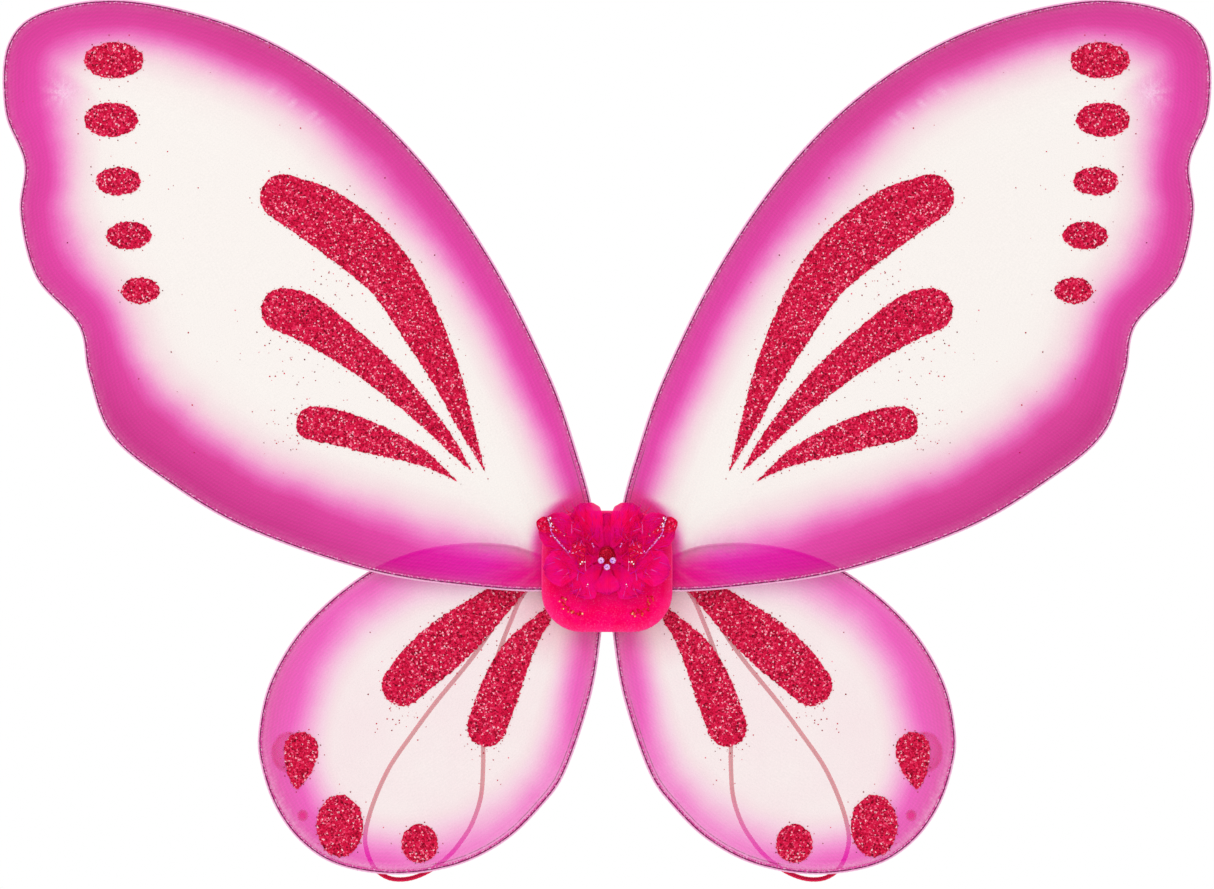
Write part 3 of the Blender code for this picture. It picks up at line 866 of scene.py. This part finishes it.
def root_dye(wing, x, z):
    """How much of the root's strong pink each place has."""
    if wing == "lower":
        return 0.5 * (1 - np.clip((np.hypot(x - 10, z - 2) - 30) / 26, 0, 1))
    halo = 0.6 * (1 - np.clip((np.hypot(x, z - 8) - 33) / 5, 0, 1))
    return np.maximum(1 - np.clip((np.hypot(x - 10, (z + 6) * 2.2) - 26) / 30, 0, 1), halo)


def wrinkles(points):
    """The sandy band of fine wrinkles over the upper wing's root, as an amount of painted shade."""
    x, z = points.T
    middle = 8 + 6 * np.clip((x - 34) / 14, 0, 1)
    band = np.exp(-(((z - middle) / 4) ** 2)) * np.clip((x - 33) / 5, 0, 1) * np.clip((74 - x) / 14, 0, 1)
    rough = np.array([noise.noise((px * 0.5, pz * 1.3, 9)) for px, pz in points])
    return band * np.clip(0.42 + 0.9 * rough, 0, 0.75)


def border_values(wing, points):
    """What the painted border's material needs at each point."""
    x, z = points.T
    away, width, tone, start = border_of(wing, points)
    away = away + HEM_RADIUS
    share = start + (1 - start) * away / width
    share = np.minimum(share, (np.hypot(x, (z - 8) * 1.1) - 31) / 10)
    share = np.minimum(share, MIDDLE_SHARE[wing])
    folds, reach = pleats(wing, points)
    # Painted shade along the pleats' folds.
    crease = np.clip(folds * 1.4 - 0.08, 0, 0.14) * np.exp(-np.maximum(reach - 14, 0) / 40)
    pale_hem_and_highlight = HAZE_AMOUNT[wing] * np.exp(-((np.maximum(away - 2, 0) / 2.4) ** 2))
    pale_hem_and_highlight = pale_hem_and_highlight * np.clip((-70 - z) / 40, 0.3, 1)
    seam = np.clip((100 - x) / 20, 0, 1) * np.clip((-50 - z) / 20, 0, 1)
    if wing == "upper":
        tug, turn = pucker(points)
        # Painted highlight on the pucker, in rays, and a thin line of the same pale along the short crease.
        pale_hem_and_highlight = np.maximum(pale_hem_and_highlight, np.exp(-((tug / 6.5) ** 2)) * (0.62 + 0.38 * np.sin(turn * 9)))
        pale_hem_and_highlight = np.maximum(pale_hem_and_highlight, 0.5 * np.exp(-((crease_distance(points) / 0.7) ** 2)))
        # The band of fine wrinkles gets painted shade too.
        crease = np.maximum(crease, wrinkles(points))
        seam = np.clip((24 - x) / 3, 0, 1) * np.clip((z - 14) / 4, 0, 1) * np.clip((66 - z) / 8, 0, 1)
    thin = np.full(len(points), CLOTH_SOLID[wing])
    return {"share": share, "tone": tone, "edge": away, "root": root_dye(wing, x, z), "crease": crease,
            "pale_hem_and_highlight": pale_hem_and_highlight, "thin": thin, "seam": seam}


def nylon_shape(wing):
    """The flat triangles of one wing's cloth, closer together where it is pleated or puckered."""

    def keep(points, coarse):
        x, z = points.T
        return coarse | (np.hypot(x - 26, z - 2) < 78) | ((pucker(points)[0] < 14) & (wing == "upper"))

    loop = boundary_of(wing, 2.6)[:, :2]
    points, faces = filled(loop, grid_inside(loop, 1.7, 1.3, keep))
    return points, faces, border_values(wing, points)


def on_cloth(wing, points, lift):
    """The (x, y, z) places of (x, z) points on a wing's cloth, this far in front of it."""
    return np.column_stack([points[:, 0], WING_Y[wing] - relief(wing, points) - lift, points[:, 1]])


def nylon(wing, side_name, look, shape):
    points, faces, values = shape
    places = on_cloth(wing, points, 0)
    sheet = piece(f"nylon_{wing}_{side_name}", places, faces, look, SIDES[side_name], on_points=values)
    on_wing(sheet, wing, side_name)
    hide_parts(f"{wing}_wing_cover_{side_name}", f"{wing}_root_gather_{side_name}")
    return sheet


def hem(wing, side_name, look):
    x, z = boundary_of(wing, 1.3)[:, :2].T
    line = np.column_stack([x, np.full(len(x), WING_Y[wing]), z])
    rim = tube(f"hem_{wing}_{side_name}", line, HEM_RADIUS, look, SIDES[side_name], closed=True,
               ripple=0.05, pitch=2.6)
    on_wing(rim, wing, side_name)
    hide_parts(f"{wing}_wing_wire_{side_name}", f"{wing}_root_wire_{side_name}")
    return rim


def drop_outline(spine):
    """The outline of a drop: its sides at the half-widths, a round head and a pointed tip."""
    line = catmull_rom(spine, 8, closed=False)
    line[:, 2] = np.maximum(line[:, 2], 0)
    ahead = np.gradient(line[:, :2], axis=0)
    ahead /= np.linalg.norm(ahead, axis=1)[:, None]
    sideways = np.column_stack([-ahead[:, 1], ahead[:, 0]])
    left = line[:, :2] + sideways * line[:, 2:3]
    right = line[:, :2] - sideways * line[:, 2:3]
    turns = math.atan2(sideways[0, 1], sideways[0, 0]) + math.pi * np.arange(1, 12) / 12
    arc = line[0, :2] + line[0, 2] * np.column_stack([np.cos(turns), np.sin(turns)])
    return np.vstack([left[::-1], arc, right[:-1]])


def oval_outline(x, z, half_width, half_height):
    turns = np.arange(40) / 40 * 2 * math.pi
    return np.column_stack([x + half_width * np.cos(turns), z + half_height * np.sin(turns)])


def ragged(outline, amount, seed):
    """The outline at fine spacing, its edge broken up as sprinkled glitter is."""
    loop = evenly(outline, 0.95, closed=True)
    coarse = [noise.noise((x * 0.9, z * 0.9, seed)) for x, z in loop]
    fine = [noise.noise((x * 2.3, z * 2.3, seed)) for x, z in loop]
    return loop + normals_of(loop) * ((np.array(coarse) + 0.6 * np.array(fine))[:, None] * amount)


def add_mark(shape, wing, loop, dice):
    """One crusted mark, in small facets."""
    places, faces, glint_and_shade = shape
    inner = grid_inside(loop, 0.98, 0.4)
    inner = inner + np.array([(dice.uniform(-0.3, 0.3), dice.uniform(-0.3, 0.3)) for _ in inner])
    points, triangles = filled(loop, inner)
    lift = np.array([0.25 + dice.uniform(0, 0.42) for _ in points])
    faces += [tuple(i + len(places) for i in face) for face in triangles]
    places += on_cloth(wing, points, lift).tolist()
    glint_and_shade += [dice.random() for _ in triangles]


def add_flake(shape, wing, limit, x, z, radius, dice):
    """One loose flake, a small tilted piece of foil, unless it would miss the cloth."""
    if not inside(np.array([(x, z)]), limit)[0]:
        return
    places, faces, glint_and_shade = shape
    _, y, _ = on_cloth(wing, np.array([(x, z)]), 0.3)[0]
    tilt_x, tilt_z, turn = dice.uniform(-0.25, 0.25), dice.uniform(-0.25, 0.25), dice.uniform(0, 1)
    faces.append(tuple(range(len(places), len(places) + FLAKE_CORNERS)))
    for k in range(FLAKE_CORNERS):
        angle = turn + 2 * math.pi * k / FLAKE_CORNERS
        dx, dz = radius * math.cos(angle), radius * math.sin(angle)
        places.append((x + dx, y + dx * tilt_x + dz * tilt_z, z + dz))
    # Most loose flakes are painted in shade; the rest get any painted brightness up to a glint.
    glint_and_shade.append(dice.uniform(0, 0.45) if dice.random() < 0.75 else dice.random())


def glitter_shape(wing):
    """Points, faces and facet brightness of a wing's glitter: crusted marks and loose flakes."""
    dice = random.Random(7 if wing == "upper" else 11)
    outlines = [*map(drop_outline, DROPS[wing]), *(oval_outline(*oval) for oval in OVALS[wing])]
    limit = evenly(boundary_of(wing, 4)[:, :2], 4, closed=True)
    shape = [], [], []
    for number, outline in enumerate(outlines):
        add_mark(shape, wing, ragged(outline, 0.75, number * 3.1), dice)
    for outline in outlines:
        fringe = evenly(outline, 4.2, closed=True)
        out = normals_of(fringe) * (-1 if polygon_area(fringe) < 0 else 1)
        for (x, z), (nx, nz) in zip(fringe, out, strict=True):
            away = dice.expovariate(0.8) + 0.2
            if away < 6:
                add_flake(shape, wing, limit, x + nx * away, z + nz * away, dice.uniform(0.2, 0.42), dice)
    for x, z, spread, count in STRAYS[wing]:
        for _ in range(count):
            fx, fz = dice.gauss(x, spread), dice.gauss(z, spread)
            add_flake(shape, wing, limit, fx, fz, dice.uniform(0.18, 0.45), dice)
    return shape


def glitter(wing, side_name, look, shape):
    marks = faceted(f"glitter_{wing}_{side_name}", shape, look, SIDES[side_name])
    on_wing(marks, wing, side_name)
    return marks


def stains(side_name, look):
    """Where dye from the lowest marks has bled into the cloth: a crescent and a dot."""
    places, faces, fade = [], [], []
    for (x, z, radius), stretch in ((STAIN_CRESCENT, 1.15), (STAIN_DOT, 1.0)):
        loop = oval_outline(x, z, radius, radius * stretch)
        points, triangles = filled(loop, grid_inside(loop, 1.3, 0.7))
        away = distances(points, evenly(loop, 0.5, closed=True))
        faces += [tuple(i + len(places) for i in face) for face in triangles]
        places += on_cloth("lower", points, 0.12).tolist()
        ring = 1.2 * np.minimum(away / 0.9, 1.0) * (0.35 + 0.65 * np.exp(-away / 2.4))
        fade += (ring if stretch > 1 else away / 0.9).tolist()
    made = piece(f"stain_{side_name}", places, faces, look, SIDES[side_name], on_points={"fade": fade})
    on_wing(made, "lower", side_name)


# ---- straps and pads


def strap(side_name, look):
    side = SIDES[side_name]
    line = evenly(catmull_rom(STRAP_ROUTE, 10, closed=False), 0.9, closed=False, axes=3)
    radius = STRAP_DIAMETER / MM / 2
    loop = tube(f"shoulder_loop_{side_name}", line, radius, look, side, ripple=0.05, pitch=1.5)
    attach(loop, f"strap_loop_{side_name}")
    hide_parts(f"strap_{side_name}")


def strap_end(side_name, look):
    """The loop's two ends, pressed flat and sewn between the pads."""
    loop = rounded_rectangle(*STRAP_END_SIZE, steps=4) + np.array(STRAP_END_PLACE)
    end = pillow(f"strap_end_{side_name}", loop, STRAP_Y + STRAP_END_HALF, STRAP_Y - STRAP_END_HALF, look,
                 crown=0.02, rim=0.8, side=SIDES[side_name])
    on_centre(end, "elastic", f"strap_anchor_{side_name}")


def stitches(name, loop, y, look):
    """A running stitch along a closed loop, each stitch tapered and bowed off the cloth."""
    line = evenly(loop, STITCH_LENGTH + STITCH_GAP, closed=True)
    rings, sides = ((-0.5, 0.3), (-0.36, 0.9), (0, 1.0), (0.36, 0.9), (0.5, 0.3)), 6
    places, faces = [], []
    for (x, z), (ux, uz) in zip(line, directions(line), strict=True):
        faces += ring_faces(len(rings), sides, shift=len(places), ends="caps")
        for share, wide in rings:
            run = STITCH_LENGTH * share
            bow = math.copysign(0.16 * (1 - (2 * share) ** 2), y + 6)
            for turn in range(sides):
                angle = math.pi / 3 * turn
                out, up = (STITCH_RADIUS * wide * part for part in (math.cos(angle), math.sin(angle)))
                places.append((x + ux * run - uz * out, y + bow + up, z + uz * run + ux * out))
    on_centre(piece(name, places, faces, look), "felt")


def pad_outline(inset):
    """The pads' rounded rectangle, this far in from its edge."""
    return rounded_rectangle(PAD_WIDTH - 2 * inset, PAD_HEIGHT - 2 * inset, PAD_CORNER - inset)


def pads(felt, thread, speck_glitter):
    for name, (y_back, y_front) in PAD_LAYERS.items():
        loop = pad_outline(CORE_INSET if name == "core_pad" else 0)
        crown = 0.14 if name == "front_pad" else 0.0
        made = pillow(f"felt_{name}", loop, y_back, y_front, felt, crown=crown)
        on_centre(made, "felt", name)
    stitches("back_pad_stitches", pad_outline(SEAM_FROM_EDGE), -0.02, thread)
    specks(speck_glitter)


def add_foil(shape, x, y, z, radius, turn, corners, rough, dice):
    """One flat flake that faces the front, with its corners at slightly uneven depths."""
    places, faces, _ = shape
    faces.append(tuple(range(len(places), len(places) + corners)))
    for k in range(corners):
        angle = turn + 2 * math.pi * k / corners
        depth = y - dice.uniform(0, rough)
        places.append((x + radius * math.cos(angle), depth, z + radius * math.sin(angle)))


def specks(look):
    """Gold and red flakes stuck to the front pad's lower corners."""
    dice = random.Random(5)
    shape = [], [], []
    for side in (-1, 1):
        for x, z in SPECK_ARC:
            for _ in range(8):
                cx, cz = side * dice.gauss(x, 0.9), dice.gauss(z, 0.8)
                add_foil(shape, cx, SPECK_Y, cz, dice.uniform(0.25, 0.6), dice.uniform(0, 1), 6, 0.15, dice)
                shape[2].append(dice.random())
    on_centre(faceted("pad_specks", shape, look), "glitter")


# ---- flower


def width_at(share):
    for (t0, w0), (t1, w1) in zip(PETAL_SHAPE, PETAL_SHAPE[1:], strict=False):
        if share <= t1:
            return w0 + (w1 - w0) * (share - t0) / (t1 - t0)
    return PETAL_SHAPE[-1][1]


def flower_y(x, z, lift):
    """The depth this far in front of the flower's dished back."""
    reach = math.hypot(x - FLOWER_CENTRE[0], z - FLOWER_CENTRE[1]) / FLOWER_REACH
    return FLOWER_BACK_Y - lift - FLOWER_LIFT * reach**2


def petal_points(start, end, width, layer, rows, columns, ruffle, seed):
    """The (x, y, z) grid of one petal with its place along and across."""
    start, end = np.array(start), np.array(end)
    length = np.linalg.norm(end - start)
    along = (end - start) / length
    across = np.array((-along[1], along[0]))
    places, u, v = [], [], []
    for row in range(rows + 1):
        share = row / rows
        for column in range(columns + 1):
            offset = column / columns * 2 - 1
            half = width / 2 * width_at(share) * (1 + 0.08 * noise.noise((share * 5, offset * 2, seed)))
            edge = offset**2
            place = start + along * length * share + across * half * offset
            place += along * (0.9 * noise.noise((offset * 4, seed, 3)) * share)
            y = flower_y(*place, FLOWER_STEP_Y * layer)
            y -= 1.1 * edge * math.sin(math.pi * share)
            y += 0.45 * math.cos(offset * 9 + seed) * share * (1 - edge)
            y -= ruffle * edge * share * math.sin(share * 17 + seed * 2 + (offset > 0) * 1.7)
            places.append((place[0], y, place[1]))
            u.append(share)
            v.append(offset)
    return places, u, v


def petal(name, shape, side, look, seed):
    """Organza petal: one curled, ruffled layer of cloth."""
    rows, columns = 26, 14
    angle, length, width, layer = shape
    turn = math.radians(angle)
    along = np.array((math.cos(turn), math.sin(turn)))
    start, end = (np.array(FLOWER_CENTRE) + along * reach for reach in (PETAL_START, length))
    places, u, v = petal_points(start, end, width, layer, rows, columns, 0.9, seed)
    faces = grid_faces(rows, columns)
    made = piece(f"organza_{name}", places, faces, look, side, on_points={"along": u, "across": v})
    on_centre(made, "petal", name)


def strand_start(dice, outer):
    """Where a loose strand begins, (direction from the flower's middle, reach), its length and heading."""
    turn = math.radians(dice.triangular(-75, 100, 50))
    if outer:
        reach = 22 + 7 * math.exp(-(((math.degrees(turn) - 30) / 32) ** 2)) + dice.uniform(-4, 3)
        return turn, reach, dice.uniform(2.5, 6), turn + dice.uniform(-0.5, 0.5)
    reach = dice.uniform(6, 24)
    length = dice.uniform(3, 8)
    return turn, reach, length, math.pi / 2 + dice.uniform(-0.9, 0.9) - 0.5 * math.cos(turn)


def fluff(side_name, look):
    """Loose strands of tulle that stand out between, over and beyond the petals."""
    dice = random.Random(17)
    places, faces, along, tint = [], [], [], []
    for number in range(FLUFF_STRANDS):
        turn, reach, length, heading = strand_start(dice, outer=number < FLUFF_STRANDS / 3)
        bend, lift = dice.uniform(-0.12, 0.12), dice.uniform(0.9, 3.2)
        x, z = reach * math.cos(turn), FLOWER_CENTRE[1] + reach * math.sin(turn)
        wide, shade = dice.uniform(0.12, 0.34), dice.random()
        if abs(x) < 10 and z + length > FLUFF_TOP:
            continue
        faces += [(a, a + 1, a + 3, a + 2) for a in range(len(places), len(places) + 2 * FLUFF_STEPS, 2)]
        for step in range(FLUFF_STEPS + 1):
            share = step / FLUFF_STEPS
            y = flower_y(x, z, 0.8) - lift * math.sin(math.pi * (0.2 + 0.6 * share))
            half = wide * (1 - 0.8 * share)
            dx, dz = -math.sin(heading) * half, math.cos(heading) * half
            places += [(max(x + dx, 0.0), y, z + dz), (max(x - dx, 0.0), y - 0.15, z - dz)]
            along += [0.5 * share] * 2
            tint += [shade] * 2
            heading += bend
            x += math.cos(heading) * length / FLUFF_STEPS
            z += math.sin(heading) * length / FLUFF_STEPS
    values = {"along": along, "across": [0.0] * len(along), "tint": tint, "strand": [1.0] * len(along)}
    made = piece(f"tulle_fluff_{side_name}", places, faces, look, SIDES[side_name], on_points=values)
    on_centre(made, "petal")


def glitter_petal(name, shape, side, look, seed):
    """A petal crusted with glitter, in facets."""
    dice = random.Random(seed)
    rows, columns = 16, 8
    start, end, width = shape
    smooth, _, _ = petal_points(start, end, width, GLITTER_LAYER, rows, columns, 0.3, seed)
    places = []
    for x, y, z in smooth:
        x, y = x + dice.uniform(-0.18, 0.18), y - dice.uniform(0, 0.4)
        places.append((x, y, z + dice.uniform(-0.18, 0.18)))
    faces = halved(grid_faces(rows, columns))
    glint_and_shade = [dice.random() for _ in faces]
    on_centre(faceted(f"crusted_{name}", (places, faces, glint_and_shade), look, side), "glitter", name)


def tinsel(side_name, look):
    """A crinkled foil strip from the flower's middle to its upper tip."""
    dice = random.Random(21)
    spine = evenly(catmull_rom(TINSEL_SPINE, 7, closed=False), 0.9, closed=False)
    places = []
    for x, z in spine:
        y = flower_y(x, z, 3)
        for offset in (-0.36, 0.0, 0.36):
            wander = dice.uniform(-0.2, 0.2)
            places.append((x + offset * 0.8 + wander, y - dice.uniform(0, 0.8), z - offset * 0.6))
    faces = halved(grid_faces(len(spine) - 1, 2))
    glint_and_shade = [dice.random() for _ in faces]
    made = faceted(f"foil_tinsel_{side_name}", (places, faces, glint_and_shade), look, SIDES[side_name])
    on_centre(made, "tinsel", f"tinsel_{side_name}")


def sparkles(side_name, look):
    """Foil flakes scattered over the petals in small groups."""
    dice = random.Random(29)
    shape = [], [], []
    for x, z in SPARKLES:
        for _ in range(4):
            cx, cz = dice.gauss(x, 0.7), dice.gauss(z, 0.7)
            y = flower_y(cx, cz, 3.6)
            add_foil(shape, cx, y, cz, dice.uniform(0.2, 0.45), dice.uniform(0, 1), 5, 0.2, dice)
            # Each flake gets a painted brightness: some dark with painted shade, some pale with a painted
            # glint.
            shape[2].append(dice.choice((0.02, 0.12, 0.72, 0.96)))
    on_centre(faceted(f"foil_sparkle_{side_name}", shape, look, SIDES[side_name]), "tinsel")


def bead(name, x, z, look):
    """A pearl bead with its thread hole towards the front."""
    sides = 20
    tilts = [math.pi * (0.08 + 0.84 * step / 12) for step in range(13)]
    profile = [(BEAD_RADIUS * math.sin(tilt), -BEAD_RADIUS * math.cos(tilt)) for tilt in tilts]
    profile += [(0.22, 1.0), (0.22, -1.0)]
    turns = [2 * math.pi * k / sides for k in range(sides)]
    places = [(x + r * math.cos(t), BEAD_Y + h, z + r * math.sin(t)) for r, h in profile for t in turns]
    faces = turned(ring_faces(len(profile), sides, ends="joined"))
    on_centre(piece(f"pearl_{name}", places, faces, look), "bead", name)


def heart(look):
    """The dark red glitter dome in the flower's middle."""
    dice = random.Random(3)
    rings, sides = 9, 22
    places = [(0, HEART_BACK_Y - HEART_DEPTH - 0.2, FLOWER_CENTRE[1])]
    for ring in range(1, rings + 1):
        tilt = math.pi / 2 * ring / rings
        for k in range(sides):
            angle = 2 * math.pi * (k + 0.5 * (ring % 2)) / sides
            r = HEART_RADIUS * math.sin(tilt) * dice.uniform(0.95, 1.04)
            y = HEART_BACK_Y - HEART_DEPTH * math.cos(tilt) - dice.uniform(-0.15, 0.15)
            places.append((r * math.cos(angle), y, FLOWER_CENTRE[1] + r * math.sin(angle) * 1.1))
    faces = [(0, 1 + k, 1 + (k + 1) % sides) for k in range(sides)]
    faces += halved(turned(ring_faces(rings, sides, shift=1)))
    glint_and_shade = [dice.random() for _ in faces]
    on_centre(faceted("glitter_heart", (places, faces, glint_and_shade), look), "glitter", "flower_heart")


def flower_base(felt):
    """The scalloped felt disc that the petals are sewn to."""
    turns = np.arange(56) / 56 * 2 * math.pi
    scallop = 13.5 + 0.5 * np.cos(turns * 14)
    disc = np.column_stack([scallop * np.cos(turns), FLOWER_CENTRE[1] + scallop * np.sin(turns)])
    base = pillow("felt_flower_base", disc, *FLOWER_BASE_Y, felt, crown=0.0, rim=0.3)
    on_centre(base, "felt", "flower_base")


def flower(felt, organza, hot_glitter, dark_glitter, foil, pearl):
    flower_base(felt)
    for side_name, side in SIDES.items():
        for seed, (stem, shape) in enumerate(SIDE_PETALS.items()):
            petal(f"{stem}_{side_name}", shape, side, organza, seed + 1.3)
        for seed, (stem, shape) in enumerate(GLITTER_PETALS.items()):
            glitter_petal(f"{stem}_{side_name}", shape, side, hot_glitter, seed + 31)
        tinsel(side_name, foil)
        fluff(side_name, organza)
        sparkles(side_name, foil)
    for seed, (name, shape) in enumerate(MIDDLE_PETALS.items()):
        petal(name, shape, 1, organza, seed + 7.7)
    heart(dark_glitter)
    for name, (x, z) in BEADS.items():
        bead(name, x, z, pearl)


# ---- the whole


def dress_hidden_parts():
    """The card and tapes between the pads keep their solids and get real materials."""
    card = board_look("pressed_card", rgb(188, 172, 142), rgb(222, 208, 180), 90.0)
    tape = board_look("cloth_tape", rgb(205, 30, 110), rgb(232, 62, 138), 260.0)
    for name, look in (("stiffener_card", card), ("lower_binding_tape", tape), ("upper_binding_tape", tape)):
        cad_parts[name].data.materials.clear()
        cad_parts[name].data.materials.append(look)


def floor():
    look = Look("floor", roughness=0.9, specular=0.1)
    pale = rgb(246, 246, 246, 1.1), rgb(252, 252, 252, 1.1)
    look.colour(look.blend(look.noise(look.object_place(), 3.0, 3), *pale))
    mesh = bpy.data.meshes.new("floor")
    corners = [(x, y, FLOOR_Z) for x, y in ((-2, -1.6), (2, -1.6), (2, 1.2), (-2, 1.2))]
    mesh.from_pydata(corners, [], [(0, 1, 2, 3)])
    mesh.materials.append(look.material)
    obj = bpy.data.objects.new("floor", mesh)
    bpy.context.collection.objects.link(obj)


def straps():
    elastic = elastic_look()
    for side_name in SIDES:
        strap(side_name, elastic)
        strap_end(side_name, elastic)


def wings():
    cloth, rim, stain = nylon_look(), hem_look(), stain_look()
    flakes = glitter_look("red_glitter", GLITTER_RED)
    for wing in OUTLINES:
        shape, marks = nylon_shape(wing), glitter_shape(wing)
        area = abs(polygon_area(boundary_of(wing, 2)[:, :2])) * MM**2
        for side_name in SIDES:
            sheet = nylon(wing, side_name, cloth, shape)
            edge = hem(wing, side_name, rim)
            crust = glitter(wing, side_name, flakes, marks)
    for side_name in SIDES:
        stains(side_name, stain)


def main():
    place_camera()
    light_studio()
    floor()
    straps()
    wings()
    felt = felt_look("hot_pink_felt", rgb(250, 2, 92), rgb(253, 8, 112), rgb(255, 110, 190))
    thread = felt_look("thread", rgb(236, 20, 110), rgb(250, 60, 140), rgb(255, 150, 200))
    pads(felt, thread, glitter_look("gold_specks", GLITTER_GOLD))
    hot, dark = glitter_look("hot_glitter", GLITTER_HOT), glitter_look("dark_glitter", GLITTER_DARK)
    flower(felt, petal_look(), hot, dark, tinsel_look(), bead_look())
    dress_hidden_parts()


main()
